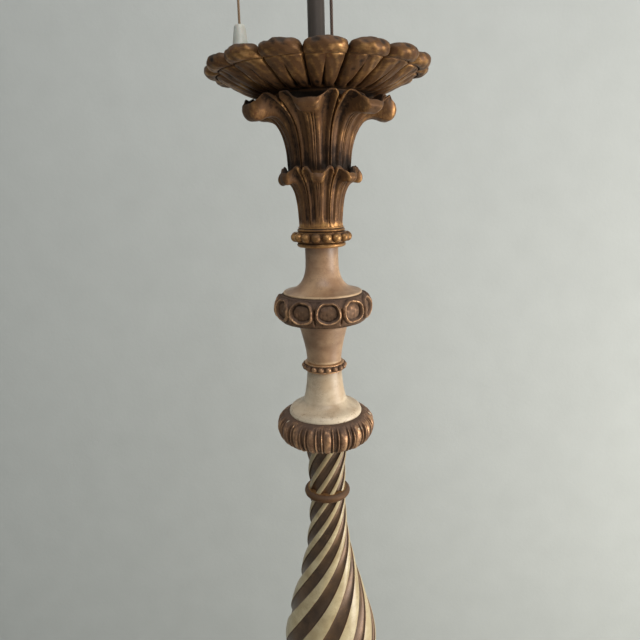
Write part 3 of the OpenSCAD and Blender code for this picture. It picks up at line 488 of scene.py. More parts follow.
gilding = aged_gilding("aged_water_gilding", "#B68955", "#84603D", "#60442C", "#342317", cloudy=0.2)
dark_gilding = aged_gilding("dark_water_gilding", "#A87F52", "#7E5C38", "#5A3F28", "#2C1F15", dusty=0.3,
                            cloudy=0.22, along=(0.15, 0.15, 1), dents_mm=14.29)
chipped_gilding = aged_gilding("aged_gilding_with_chips", "#B9916B", "#85664E", "#614A38", dust="#5D4C42",
                               dusty=0.8, chips=1.0)
print("made", gilding.name + ",", dark_gilding.name, "and", chipped_gilding.name)


# %% [markdown]
# ### Cream oil paint
# The turned necks are painted cream over gesso and glazed with a yellowing varnish. The paint is mottled,
# has a fine net of cracks a few millimetres apart, and is darkened brown in its corners, along its lower
# edges and in the bands of `grime_and_shade`, partly grime and partly painted shade.

# %% Cream paint with a yellowed glaze
CRACKS_APART = 4


def cream_colour(tree, at, hollow, pale, warm, grime_and_shade):
    """The colour of old cream paint and the lines of its cracks"""
    flat, tall = (add(tree, "Mapping", {"Vector": at, "Scale": (1, 1, z)})[0] for z in (1.6, 0.3))
    cloud, stain, broken, patch, run = (
        add(tree, "TexNoise", {"Vector": where, "Scale": 1 / (size * MM), "Detail": detail,
                               "Roughness": rough})[0]
        for where, size, detail, rough in ((flat, 29.41, 5, 0.55), (at, 13.33, 5, 0.65), (at, 25, 3, 0.55),
                                           (at, 8.333, 4, 0.55), (tall, 14.29, 4, 0.55)))
    # The cracks are a little wider than real ones, which are too fine to show
    near = add(tree, "TexNoise", {"Vector": at, "Scale": 1 / (11.11 * MM), "Detail": 2.0})["Color"]
    bent = add(tree, "Mix", {0: 0.012, 6: at, 7: near}, data_type="RGBA")[2]
    crack = add(tree, "TexVoronoi", {"Vector": bent, "Scale": 1 / (CRACKS_APART * MM)},
                feature="DISTANCE_TO_EDGE")[0]
    line = weigh(tree, (crack, 0.045, 0), (broken, 0.42, 0.62))
    dirt_and_shade_band = add(tree, "Attribute", attribute_name="grime_and_shade")["Fac"]
    tone = rgb(pale)
    # The grime colour darkens stains and cracks as dirt, and the hollows and the darkened bands as grime
    # with painted shade
    for colour, *rules in ((warm, (cloud, 0.38, 0.62)),
                           (grime_and_shade, (stain, 0.52, 0.72, 0, 0.35)),
                           (grime_and_shade, (line, 0, 1, 0, 0.4)),
                           (grime_and_shade, (hollow, 0.08, 0.75, 0, 0.85), (patch, 0.25, 0.6, 0.5, 1)),
                           (grime_and_shade, (dirt_and_shade_band, 0, 1), (run, 0.3, 0.65, 0.55, 1))):
        tone = add(tree, "Mix", {0: weigh(tree, *rules), 6: tone, 7: rgb(colour)}, data_type="RGBA")[2]
    return tone, line


def cream_paint(name, pale, warm, grime_and_shade, worn_and_highlit_edge):
    material, tree, at = finish_of(name)
    hollow, dirt_and_shade_band = (add(tree, "Attribute", attribute_name=kept)["Fac"] for kept in ("hollow", "grime_and_shade"))
    tone, line = cream_colour(tree, at, hollow, pale, warm, grime_and_shade)
    patch, spot, dull, waves = (
        add(tree, "TexNoise", {"Vector": at, "Scale": 1 / (size * MM), "Detail": detail,
                               "Roughness": rough})[0]
        for size, detail, rough in ((16.67, 3, 0.55), (4.167, 3, 0.6), (16.67, 4, 0.55), (22.22, 3, 0.55)))
    # The thin edges are pale, partly worn paint and partly a painted highlight, where no darkening covers
    # them, with small brown spots beside them
    edge = weigh(tree, (hollow, -0.2, -0.5, 0, 0.7), (patch, 0.35, 0.55, 0.3, 1), (dirt_and_shade_band, 0.02, 0.2, 1, 0))
    spotted = weigh(tree, (hollow, 0.02, -0.15, 0, 0.6), (spot, 0.62, 0.68))
    for share, colour in ((edge, worn_and_highlit_edge), (spotted, "#7A5A3C")):
        tone = add(tree, "Mix", {0: share, 6: tone, 7: rgb(colour)}, data_type="RGBA")[2]
    rough = weigh(tree, (dull, 0.3, 0.7, 0.4, 0.58))
    return surface(material, tree, {"Base Color": tone, "Roughness": rough, "IOR": 1.5,
                                    "Coat Weight": 0.12, "Coat Roughness": 0.3},
                   [(waves, 0.5, 0.12), (line, -0.08, 0.3)])


cream = cream_paint("cream_paint_yellowed_glaze", "#D0BFA3", "#B8A183", "#6A5038", "#DDCFB4")
# This copy is darker partly for a browner glaze and partly as painted shade, for the necks beneath the pan
shaded_brown_cream = cream_paint("cream_paint_brown_glaze_and_shade", "#B39270", "#8F6E50", "#543A28", "#CBAF88")
print("made", cream.name, "and", shaded_brown_cream.name)


# %% [markdown]
# ### The shaft's two finishes
# The lands between the flutes carry the same cream paint, a little greener, and the flutes are a dull brown
# gold. The carved piece has an attribute `flute`, 1 inside a flute, and the thin edge between both is
# rubbed bright.

# %% Cream lands and brown-gold flutes
def painted_flutes(name):
    material, tree, at = finish_of(name)
    hollow, flute = (add(tree, "Attribute", attribute_name=kept)["Fac"] for kept in ("hollow", "flute"))
    land, line = cream_colour(tree, at, weigh(tree, (hollow, 0.25, 1)), "#C0B18B", "#AA9770", "#6B5638")
    cloud, fleck, shaky, rubbed, dents = (
        add(tree, "TexNoise", {"Vector": at, "Scale": 1 / (size * MM), "Detail": detail,
                               "Roughness": rough})[0]
        for size, detail, rough in ((20.83, 5, 0.55), (3.03, 4, 0.7), (7.692, 3, 0.55), (11.11, 3, 0.55),
                                    (8.333, 4, 0.55)))
    gold = add(tree, "ValToRGB", {0: cloud}, [(0.3, "#6A5038"), (0.52, "#55402E"), (0.75, "#3C2C21")])[0]
    flecked = weigh(tree, (fleck, 0.6, 0.75, 0, 0.6))
    gold = add(tree, "Mix", {0: flecked, 6: gold, 7: rgb("#9A6E40")}, data_type="RGBA")[2]
    # The brush wandered a little over the edge
    wander = weigh(tree, (shaky, 0.3, 0.7, -0.16, 0.16))
    side = add(tree, "Math", {0: flute, 1: wander}, operation="ADD")[0]
    inside = weigh(tree, (side, 0.42, 0.58))
    rim = weigh(tree, (side, 0.12, 0.3), (side, 0.78, 0.55), (rubbed, 0.4, 0.6, 0.2, 0.9))
    tone = add(tree, "Mix", {0: inside, 6: land, 7: gold}, data_type="RGBA")[2]
    tone = add(tree, "Mix", {0: rim, 6: tone, 7: rgb("#8C5A36")}, data_type="RGBA")[2]
    return surface(material, tree, {"Base Color": tone, "Metallic": weigh(tree, (inside, 0, 1, 0, 0.55)),
                                    "Roughness": weigh(tree, (inside, 0, 1, 0.38, 0.46)),
                                    "Coat Weight": 0.15, "Coat Roughness": 0.25},
                   [(dents, 0.4, 0.3), (line, -0.08, 0.25)])


fluted_paint = painted_flutes("cream_and_brown_gold")
print("made", fluted_paint.name)


# %% [markdown]
# ### Metals
# The stem is a steel tube with a brown lacquer, the fittings are brass that has browned with age, and the
# contacts are clean brass. Screws and washers are plated steel, the bulb's cap is dull zinc.

# %% Metals
def worn_metal(name, pale, mid, dark, metallic, rough, streak=1.0, cloud_mm=11.11):
    """Metal with cloudy tarnish; a streak over 1 stretches it along the height, as wiping does"""
    material, tree, at = finish_of(name)
    wiped = add(tree, "Mapping", {"Vector": at, "Scale": (1, 1, 1 / streak)})[0]
    cloud, fine = (
        add(tree, "TexNoise", {"Vector": wiped, "Scale": 1 / (size * MM), "Detail": detail,
                               "Roughness": soft})[0]
        for size, detail, soft in ((cloud_mm, 6, 0.6), (cloud_mm / 9, 3, 0.55)))
    tone = add(tree, "ValToRGB", {0: cloud}, [(0.3, pale), (0.5, mid), (0.72, dark)])[0]
    darker = weigh(tree, (fine, 0.58, 0.72, 0, 0.4))
    tone = add(tree, "Mix", {0: darker, 6: tone, 7: rgb(dark)}, data_type="RGBA")[2]
    shine = weigh(tree, (cloud, 0.3, 0.7, rough - 0.07, rough + 0.1))
    return surface(material, tree, {"Base Color": tone, "Metallic": metallic, "Roughness": shine},
                   [(cloud, 0.1, 0.12), (fine, 0.04, 0.2)])


stem_lacquer = worn_metal("brown_lacquered_steel", "#4B413A", "#3B332D", "#2E2823", 0.35, 0.45, streak=5)
aged_brass = worn_metal("aged_brass", "#B08D52", "#8E6C3A", "#5C4426", 0.95, 0.34)
bright_brass = worn_metal("clean_brass", "#DDB870", "#CFA45C", "#A8803F", 1.0, 0.2)
plated_steel = worn_metal("plated_steel", "#B9B8B4", "#A3A29E", "#7C7A75", 1.0, 0.32)
dull_zinc = worn_metal("dull_zinc", "#C4C4C0", "#B2B2AE", "#8E8D88", 1.0, 0.36, cloud_mm=7.143)
print("made five metals")


# %% [markdown]
# ### Glaze, glass, plastic, cord and cloth
# The rest are not metals: white glazed porcelain, opal glass with a bright skin over a cloudy body, moulded
# plastic with a faint flow pattern, braided cord, rubber and pressed felt.

# %% Other finishes
def plain_body(name, pale, dark, rough, cloud_mm, bump, deep=0.2, extra=None):
    """A body of one stuff whose colour drifts softly, with a fine bump of its own"""
    material, tree, at = finish_of(name)
    cloud, fine = (
        add(tree, "TexNoise", {"Vector": at, "Scale": 1 / (size * MM), "Detail": detail,
                               "Roughness": 0.55})[0]
        for size, detail in ((cloud_mm, 4), (cloud_mm / 12, 3)))
    drift = weigh(tree, (cloud, 0.35, 0.68))
    tone = add(tree, "Mix", {0: drift, 6: rgb(pale), 7: rgb(dark)}, data_type="RGBA")[2]
    shine = weigh(tree, (cloud, 0.3, 0.7, rough - 0.04, rough + 0.06))
    return surface(material, tree, {"Base Color": tone, "Roughness": shine, **(extra or {})},
                   [(fine, deep, bump)])


porcelain = plain_body("white_glazed_porcelain", "#ECE7DC", "#DDD5C4", 0.16, 16.67, 0.1,
                       extra={"Coat Weight": 0.6})
opal_glass = plain_body("opal_glass", "#F0ECE2", "#E4DDCE", 0.14, 28.57, 0.02, 0.1,
                        {"Coat Weight": 0.5, "Subsurface Weight": 0.15, "Subsurface Scale": 0.01})
pull_plastic = plain_body("moulded_ivory_plastic", "#C6C6BB", "#B4B4A8", 0.38, 9.091, 0.06, 0.1,
                          {"Subsurface Weight": 0.1, "Subsurface Scale": 0.004})
lead_rubber = plain_body("black_rubber", "#38332F", "#242120", 0.6, 8.333, 0.15)
pressed_felt = plain_body("pressed_green_felt", "#4A5745", "#36412F", 0.95, 3.333, 0.7, 0.5,
                          {"Sheen Weight": 0.4})
cover_paint = plain_body("satin_black_paint", "#332E2A", "#28231F", 0.48, 11.11, 0.2)


def braided_cord(name, centre, thick, pale, dark):
    """Two sets of four threads wound opposite ways round the cord, coarser than the real braid, which is
    too fine to show. The next thread of a set follows after a climb of 1.2 times the cord's thickness"""
    material, tree, at = finish_of(name)
    middle = add(tree, "Mapping", {"Vector": at, "Location": (-centre[0], -centre[1], 0)})[0]
    split = add(tree, "SeparateXYZ", {0: middle})
    around = add(tree, "Math", {0: split["Y"], 1: split["X"]}, operation="ARCTAN2")[0]
    climb = add(tree, "Math", {0: split["Z"], 1: TAU / (1.2 * thick * MM)}, operation="MULTIPLY")[0]
    threads = []
    for way in (4.0, -4.0):
        turned = add(tree, "Math", {0: around, 1: way, 2: climb}, operation="MULTIPLY_ADD")[0]
        threads.append(add(tree, "Math", {0: turned}, operation="SINE")[0])
    weave = add(tree, "Math", {0: threads[0], 1: threads[1]}, operation="MAXIMUM")[0]
    raised = weigh(tree, (weave, 0.1, 0.95))
    tone = add(tree, "Mix", {0: raised, 6: rgb(dark), 7: rgb(pale)}, data_type="RGBA")[2]
    return surface(material, tree, {"Base Color": tone, "Roughness": 0.8, "Sheen Weight": 0.2},
                   [(weave, 0.12, 0.6)])


thin_braid = braided_cord("thin_brown_braid", left_points[0], THIN_CORD, "#94795A", "#5E4830")
dark_braid = braided_cord("thick_dark_braid", right_points[0], THICK_CORD, "#5A4436", "#2C201A")
print("made eight more finishes")


# %% [markdown]
# ## Pulls
# The pull is a moulded cone with a thick rounded foot, a small chamfer at the top and a countersunk mouth
# for the cord. It is turned like the wooden pieces and then moved to its cord, and the place goes into its
# mesh.

# %% Conical pulls
PULL_HEIGHT = 26
PULL_LINE = [(0.8, 2), (5.2, 2), (6.3, 0.6), (7.2, 0),
             *spline([(7.75, 0.5), (8, 2.2), (7.85, 4.5), (7.2, 9), (6.4, 14.5), (5.7, 19.5),
                      (5.2, 23.2)], 22),
             (4.9, 24.6), (4.3, 25.7), (3.6, PULL_HEIGHT), (1.8, PULL_HEIGHT), (1.2, 25.2), (0.8, 24)]


def cone_pull(name, points):
    x, y, top = points[-1]
    pull = soften(turn(name, lifted(PULL_LINE, top / MM - PULL_HEIGHT), 64), 0.25, 30)
    return mark_crests_and_hollows(set_down(pull, x, y))


for side, cord, braid, slot, points, thick in (
        ("left", left_cord, thin_braid, "brown_cord", left_points, THIN_CORD),
        ("right", right_cord, dark_braid, "dark_cord", right_points, THICK_CORD)):
    body = side + "_pull"
    pull = place(cone_pull("pull_cone_" + side, points), pull_plastic, "pull_" + side, body)
    place(cord, braid, "pull_cord_" + side, body)

# %% [markdown]
# ## Cream necks and bells
# These are plain turnings. The outline is drawn with curves through four handles, as the CAD model does,
# but with finer steps, and it is closed through the bore for the tube. Ledges get a small broken edge, and
# a neck is darkened where it runs up under the ring above it, partly dirt and partly painted shade.

# %% Turned pieces
def turned_piece(name, node, finish, outline, dirt_and_shade=None, steps=144, edge=0.35):
    """outline climbs the outside, and dirt_and_shade is (height of full darkening, height of none, how
    much), with all heights over the seat; the darkening is partly dirt and partly painted shade under the
    ring above"""
    z = seat(node)
    piece = mark_crests_and_hollows(soften(turn(name, bored(lifted(outline, z)), steps), edge), 12, 0.9)
    if dirt_and_shade:
        full, none, much = dirt_and_shade
        # Darker under the ring above: dirt and painted shade
        soil_and_shade(piece, (z + full, z + none, much))
    return place(piece, finish, node)


turned_piece("neck_upper", "upper_neck", shaded_brown_cream,
             [(40.6, 0), (40.6, 1.3), *bend([(39.8, 1.9), (27, 4.2), (20, 9), (17.5, 23)], 26),
              *bend([(17.5, 23), (16.7, 28), (16.7, 37.6), (17, 47)], 14)[1:]], (48, 34, 0.75))
turned_piece("neck_middle", "middle_neck", shaded_brown_cream,
             [*bend([(18, 0), (18.6, 15.4), (22.5, 27.3), (25.5, 40)], 26), (26.2, 41), (27.5, 41.4),
              (27.5, 44)], (25, 9, 0.15))
turned_piece("neck_lower", "lower_neck", cream,
             [(39, 0), (39, 1.8), *bend([(38.6, 2.6), (37.6, 9), (27.4, 7.4), (23.4, 14)], 20),
              *bend([(23.4, 14), (21, 20), (19, 33.6), (18.2, 48)], 18)[1:]], (49, 32, 0.45))
turned_piece("neck_spool", "lower_spool", cream,
             [(40, 0), (40, 2.4), *bend([(39.4, 3.2), (26, 6), (18.7, 12), (19.7, 31.5)], 22),
              *bend([(19.7, 31.5), (20.7, 50.4), (30, 55), (37.6, 59.6)], 20)[1:], (38, 60.4), (38, 63)])
turned_piece("neck_base", "base_neck", cream,
             [*bend([(36, 0), (20, 6), (22, 36), (24, 52)], 26), (25.5, 54.6), (30, 56), (30, 60)])
turned_piece("bell_base", "base_bell", cream,
             [*arc(115, 0, 6, 3, 10), (112, 7.2),
              *bend([(111.6, 7.4), (104, 32.9), (44, 21.9), (38, 73)], 40)], steps=216, edge=0.6)

# %% [markdown]
# ## Leaves
# A carved leaf has a rounded rib down its middle with a thin cut in it, a wide scoop on both sides and a
# thin raised rim, and a deep cut parts it from the next. At the top it bends out like the lip of a jug: its
# middle sags, turns up again and ends low, and on both sides the edge climbs to a peak close to the core.
# So three outlines are drawn, for the middle, the peak and the cut, and the form slides from one to the
# next.

# %% Form of a leaf
LEAF_SHARES = both_ways(0, .009, .02, .035, .05, .062, .078, .1, .125, .15, .175, .2, .225, .25, .28, .31,
                        .34, .365, .39, .41, .43, .445, .457, .468, .477, .486, .5)
LEAVES = 7
EDGE = 13


def leaf_form(middle, peak, rim, z0, size, rows, seed, uneven):
    """The outlines have as many points each, heights over z0 and the leaf's edge at point EDGE. At the
    radius size the cuts have their written depth. uneven holds how much further each leaf's tip reaches
    out, and how much higher its underside and its edge lie, as no two leaves carved by hand are alike"""
    last = len(middle) - 1
    keys = [np.array(bored(spline(p, rows))) for p in (middle, peak, rim)]
    outs = [sides(k) for k in keys]
    knot = np.clip((np.arange(rows + 3) - 1) / rows, 0, 1) * last
    worked = ease(knot, 0.1, 1.0) * ease(knot, last, last - 1.6)
    worked[[0, -1]] = 0
    outer = ease(knot, EDGE + 0.9, EDGE - 0.2)
    uneven = np.array(uneven, float)

    def form(f, leaf, row):
        x, q = np.abs(f), knot[row]
        to_peak = ease(x, 0.1, 0.34)
        to_rim = np.clip((x - 0.39 - 0.04 * ease(q, 9, 5)) / (0.105 - 0.04 * ease(q, 9, 5)), 0, 1) ** 1.5
        w = [1 - to_peak, to_peak * (1 - to_rim), to_peak * to_rim]
        p = sum(k[row] * wi[:, None] for k, wi in zip(keys, w))
        out = sum(o[row] * wi[:, None] for o, wi in zip(outs, w))
        out /= np.maximum(np.hypot(*out.T), 1e-6)[:, None]
        wide = np.clip(p[:, 0] / size, 0.62, 1.2)
        scoop = ease(x, 0.15, 0.26) * ease(x, 0.46, 0.35) * (1 - 0.6 * ease(q, 9, EDGE))
        d = -3.3 * scoop + 0.5 * np.clip(1 - (x / 0.15) ** 2, 0, 1) + 0.6 * notch(x - 0.468, 0.013)
        # Fine cuts along the rib, which end before the leaf bends over
        veins = 1.3 * notch(x, 0.01) + 0.7 * notch(f - 0.06, 0.012) + 0.5 * notch(f + 0.08, 0.012)
        d -= veins * ease(q, 6.6, 4.8)
        # A thin lip runs round the edge, and slow chisel marks differ from leaf to leaf
        d += 0.5 * notch(q - EDGE + 0.5, 0.45) * ease(x, 0.49, 0.44)
        d += 0.28 * np.sin(q * 0.9 + chance(leaf, seed) * 6 + f * 9) * np.sin(f * 21 + leaf * 2.1)
        cut = notch(0.5 - x, 0.016 + 0.012 * ease(q, 5, 9))
        d = d * outer[row] - 4.4 * cut * (0.3 + 0.7 * outer[row])
        d *= worked[row] * wide
        tip = ease(q, 5, 9) * ease(q, last, EDGE) * ease(x, 0.49, 0.25)
        reach, sag, lift = uneven[leaf].T
        lift = sag * ease(q, 4, 8) * ease(q, 11.5, 9.5) + lift * ease(q, 9.5, 11.5)
        return p[:, 0] + out[:, 0] * d + reach * tip, z0 + p[:, 1] + out[:, 1] * d + lift * tip, 0 * f

    return lifted(keys[0], z0), form


# %% [markdown]
# ### Leaf capital
# Seven tall leaves carry the pan. Their tips hang outwards under it, and their peaks reach up to its seat.

# %% Leaf capital
z = seat("leaf_capital")
capital_line, capital_form = leaf_form(
    [(30.5, 0), (30.9, 12), (32.3, 24), (35.6, 36), (40.6, 45.4), (46, 50.6), (51.6, 52.2), (57, 51),
     (62, 48.8), (67.2, 48.4), (71.6, 50.8), (73.8, 54.8), (73.4, 58.2), (71.6, 59.8), (69, 58.6),
     (64, 56.6), (57.5, 56.6), (51, 60), (47, 65.6), (45, 72)],
    [(31, 0), (31.4, 12), (32.8, 24), (35.8, 36), (40.2, 45), (45, 51), (50, 55.2), (54.8, 58.2),
     (59.4, 60.4), (63.4, 62.2), (66.6, 63.8), (68.6, 65.4), (69.4, 67), (68.8, 68.2), (67, 68.2),
     (63.6, 66.8), (58, 65), (52.4, 65.2), (48, 68.2), (45, 72)],
    [(30.6, 0), (30.7, 12), (31.6, 24), (34.2, 36), (38.2, 44.8), (42.6, 50.6), (47.2, 54.6), (51.4, 57.4),
     (55, 59.4), (57.6, 60.8), (59.4, 61.8), (60.2, 62.6), (60.1, 63.4), (59.2, 63.9), (57.4, 63.6),
     (54.8, 63), (52, 63.4), (49.4, 65.2), (47, 68.2), (45, 72)],
    z, size=40, rows=114, seed=3,
    uneven=((0, 3.2, 0.5), (0, 2.5, 0), (0.5, 1, 3), (0, 1, 1), (-1, 1, 1), (-6, 6, 6), (2, -0.5, 1)))
capital = carve("capital_leaves", LEAVES, LEAF_SHARES, capital_line, capital_form, facing(-8))
# Painted shade with some grime: the leaves darken towards the cup they stand in, and their inner side under
# the pan is dark
capital = soil_and_shade(mark_crests_and_hollows(soften(capital, 0), 4, 0.85), (z + 2, z + 32, 0.85), inner=(80, 86, 0.9))
place(capital, gilding, "leaf_capital")

# %% [markdown]
# ### Leaf cup
# The same leaf, shorter, in which the foot of the capital stands.

# %% Leaf cup
z = seat("leaf_cup")
cup_line, cup_form = leaf_form(
    [(21.6, 0), (22, 10), (22.9, 20), (24.6, 29), (27.2, 36), (30, 40.4), (32.8, 42), (35.6, 41.6),
     (38.2, 40.8), (40.4, 41.4), (41.9, 43.6), (42.3, 46.4), (41.6, 48.8), (40, 49.8), (38.2, 50),
     (36.2, 50), (34.6, 49.8), (33.2, 49.6), (31.8, 49.5), (30.6, 49.5)],
    [(22, 0), (22.4, 10), (23.3, 20), (24.9, 29), (27, 36), (29.6, 41.2), (32.2, 44.8), (34.6, 47.4),
     (36.7, 49.4), (38.3, 51), (39.3, 52.6), (39.3, 54.2), (38.3, 55.7), (36.7, 56.7), (35, 57),
     (33.6, 56.2), (32.6, 54.2), (31.8, 51.8), (31.2, 50.2), (30.6, 49.5)],
    [(21.4, 0), (21.6, 10), (22.4, 20), (23.9, 29), (25.7, 36), (27.8, 41), (30, 44.4), (32, 46.6),
     (33.6, 48.2), (34.8, 49.4), (35.6, 50.4), (35.8, 51.4), (35.4, 52.3), (34.6, 52.7), (33.6, 52.4),
     (32.8, 51.8), (32, 51), (31.4, 50.2), (31, 49.8), (30.6, 49.5)],
    z, size=40, rows=95, seed=8,
    uneven=((0, 2, 0), (0, 1.5, 0), (0, 1, 1), (0, 0, 0), (0, 0.5, 0.5), (0, 0, 0), (0.8, 0, 1)))
cup = carve("cup_leaves", LEAVES, LEAF_SHARES, cup_line, cup_form, facing(-3.5))
# Painted shade: dark at the cup's foot and on its inner side round the capital's foot
cup = soil_and_shade(mark_crests_and_hollows(soften(cup, 0), 5, 0.7), (z + 1, z + 6, 0.4), inner=(67, 72, 0.9))
place(cup, gilding, "leaf_cup")

# %% [markdown]
# ## Drip pan
# Sixteen petals with a fat rolled lip stand round a shallow dish. The outline of a petal's middle and the
# one of the cut between two petals are drawn, and the form slides between them on a part of a circle, which
# gives the cushion its round end. Below, a long cut runs between two petals and a short wedge into the
# middle of each.

# %% Form of a petal
PETALS = 16
PETAL_MIDDLE = [(30, 0), (50, 0), (57, 1.0), (65, 3.2), (73, 6.4), (81, 10.4), (88, 14.4), (92.5, 17),
                (94.6, 18.0), (96.6, 17.0), (100, 16.6), (103.6, 18.4), (105.7, 21.6), (105.7, 25),
                (103.8, 27.8), (100.6, 29), (97.2, 28.3), (94.4, 26), (90.5, 22), (84.5, 18.2), (76, 15.6),
                (64, 13.6), (48, 12.4), (30, 12)]
PETAL_EDGE = [(30, 0), (50, 0), (56, 1.8), (62.6, 4.4), (69.6, 7.8), (76.4, 11.4), (82.6, 14.8), (86.6, 17),
              (88.6, 18), (90, 18.6), (91.8, 19.4), (93.4, 20.4), (94.6, 21.8), (94.9, 23.6), (94, 25.2),
              (92.2, 25.9), (90.2, 25.4), (88, 23.8), (84.6, 21), (79.6, 18.2), (72.6, 15.8), (62, 13.8),
              (48, 12.5), (30, 12)]
PETAL_SHARES = both_ways(0, .01, .02, .032, .045, .065, .09, .125, .165, .205, .245, .285, .32, .355, .385,
                         .41, .43, .447, .462, .474, .484, .492, .5)
PAN_ROWS = 108
z = seat("drip_pan")
pan_keys = [np.array(bored(spline(p, PAN_ROWS))) for p in (PETAL_MIDDLE, PETAL_EDGE)]
pan_outs = [sides(k) for k in pan_keys]
# Where a row lies: knot 2 is the start of the slope, 8 the groove under the lip, 15 the top of the lip
pan_knot = np.clip((np.arange(PAN_ROWS + 3) - 1) / PAN_ROWS, 0, 1) * (len(PETAL_MIDDLE) - 1)


def petal_form(f, petal, row):
    x, q = np.abs(f), pan_knot[row]
    cushion = 1 - np.sqrt(np.clip(1 - (2 * x) ** 2 * 0.97, 0, 1))
    m = (0.62 * cushion + 0.38 * (2 * x) ** 3) / 0.89
    p, out = (k[0][row] * (1 - m)[:, None] + k[1][row] * m[:, None] for k in (pan_keys, pan_outs))
    out /= np.maximum(np.hypot(*out.T), 1e-6)[:, None]
    pitch = TAU / PETALS * p[:, 0]
    under = ease(q, 1.1, 2.2) * ease(q, 8.6, 7.6)
    lip = ease(q, 8.4, 10) * ease(q, 17.5, 15.5)
    inside = ease(q, 16.5, 18) * ease(q, 22.5, 20.5)
    # The cut between two petals, the wedge and swell of each, the groove under the lip and the lip's cut
    d = -2.6 * notch((0.5 - x) * pitch, 1.0) * (under + 0.6 * inside)
    wedge = 0.25 + 1.5 * np.clip((86 - p[:, 0]) / 34, 0, 1)
    d -= 2.3 * notch(x * pitch, wedge) * ease(p[:, 0], 87, 76) * under
    d += 1.0 * np.sin(np.clip(x * 2, 0, 1) * math.pi) * under
    d -= 1.5 * notch(q - 8.1, 0.42) * ease(x, 0.5, 0.44)
    d -= 2.2 * notch((0.5 - x) * pitch, 1.3) * lip
    # Two scoops in the face of each lip, of changing depth, and soft chisel marks all over
    for n, where in enumerate((-0.2, 0.17)):
        spot = where + 0.08 * (chance(petal, n + 5) - 0.5)
        scoop = notch(f - spot, 0.1) * notch(q - 13.2 - chance(petal, n + 2), 1.5)
        d -= (0.5 + 1.1 * chance(petal, n)) * scoop
    d += 0.28 * np.sin(q * 2.3 + petal * 1.7 + f * 8) * np.sin(f * 23 + petal) * (under + lip)
    lift = (chance(petal, 11) - 0.5) * 1.1 * lip
    return p[:, 0] + out[:, 0] * d, z + p[:, 1] + out[:, 1] * d + lift, 0 * f


pan = carve("pan_petals", PETALS, PETAL_SHARES, lifted(pan_keys[0], z), petal_form, facing(3.9))
# Painted shade under the pan, where it sits on the capital; the tops of the lips are darkened too
pan = soil_and_shade(mark_crests_and_hollows(soften(pan, 0), 9, 0.7), (z, z + 6, 0.5), (z + 27, z + 18, 0.45))
place(pan, dark_gilding, "drip_pan")

# %% [markdown]
# ## Bead rings
# A string of beads between two thin fillets. A bead is raised out of the turned ring: the points of a round
# patch are moved onto a ball, a little past its widest line, so the beads stand clear of each other.

# %% Bead rings
BEAD_SHARES = both_ways(0, .04, .08, .12, .16, .2, .24, .28, .32, .355, .385, .41, .43, .447, .46, .475,
                        .488, .5)
PATCH_ROWS = 25
# How far from its outer point a patch is drawn over the ball: a little past the widest line
PATCH_WRAP = 97


def bead_string(name, node, beads, bead_r, outer, height, low, high, start):
    """low and high are the outlines of the fillets, with heights over the seat"""
    z0, centre, mid = seat(node), outer - bead_r, height / 2
    over_ball = np.sin(np.linspace(-math.pi / 2, math.pi / 2, PATCH_ROWS))
    patch = [(centre - 0.4, mid + bead_r * h) for h in over_ball]
    line = [(BORE, 0), *low, *patch, *high, (BORE, height)]
    first = 1 + len(low)
    points = np.array(line, float)

    def form(f, bead, row):
        r, h = points[row].T
        pitch = TAU * centre / beads
        across, over = f * pitch, h - mid
        rho = np.hypot(across, over) / bead_r
        on = (row >= first) & (row < first + PATCH_ROWS) & (rho < 1)
        phi = np.where(on, rho, 0) * math.radians(PATCH_WRAP)
        stretch = np.where(on & (rho > 1e-6), np.sin(phi) / np.maximum(rho, 1e-6), 1)
        r = np.where(on, centre + bead_r * np.cos(phi), r)
        h = np.where(on, mid + over * stretch, h)
        swing = np.where(on, across * (stretch - 1) / pitch * 360 / beads, 0)
        return r, z0 + h, swing

    return carve(name, beads, BEAD_SHARES, lifted(line, z0), form, start)


collar = bead_string("collar_beads", "bead_collar", beads=16, bead_r=4.7, outer=31.2, height=20.5,
                     low=arc(22.2, 0.2, 4.8, 2.5, 9), high=[*arc(22.2, 15.6, 18.6, 1.9, 7),
                     *arc(22.2, 18.9, 20.4, 1.0, 4)], start=facing(11.25))
place(mark_crests_and_hollows(soften(collar, 0), 10, 0.9), dark_gilding, "bead_collar")
small = bead_string("small_beads", "small_bead_ring", beads=18, bead_r=3.0, outer=24.1, height=9,
                    low=arc(19.8, 0, 1.9, 1.1, 6), high=arc(19.8, 7.1, 9, 1.1, 6), start=facing(10))
place(mark_crests_and_hollows(soften(small, 0), 6, 0.35), chipped_gilding, "small_bead_ring")
base_beads = bead_string("base_beads", "base_bead_ring", beads=26, bead_r=4.2, outer=47, height=10,
                         low=arc(41, 0, 1.5, 1.2, 6), high=arc(41, 8.5, 10, 1.2, 6), start=facing(0))
place(mark_crests_and_hollows(soften(base_beads, 0), 8, 0.8), gilding, "base_bead_ring")

# %% [markdown]
# ## Lobed rings
# Broad lobes stand side by side round a half-round moulding. Between two of them a dark cut runs between
# two thin ridges, which are rubbed bright with a painted highlight, and a finer cut parts each ridge from
# its lobe. The dark of the cut is grime with painted shade.

# %% Lobed rings
LOBE_SHARES = both_ways(0, .05, .1, .15, .19, .215, .235, .25, .262, .275, .29, .305, .32, .335, .35, .37,
                        .39, .41, .43, .45, .47, .485, .5)
LOBE_ROWS = 56


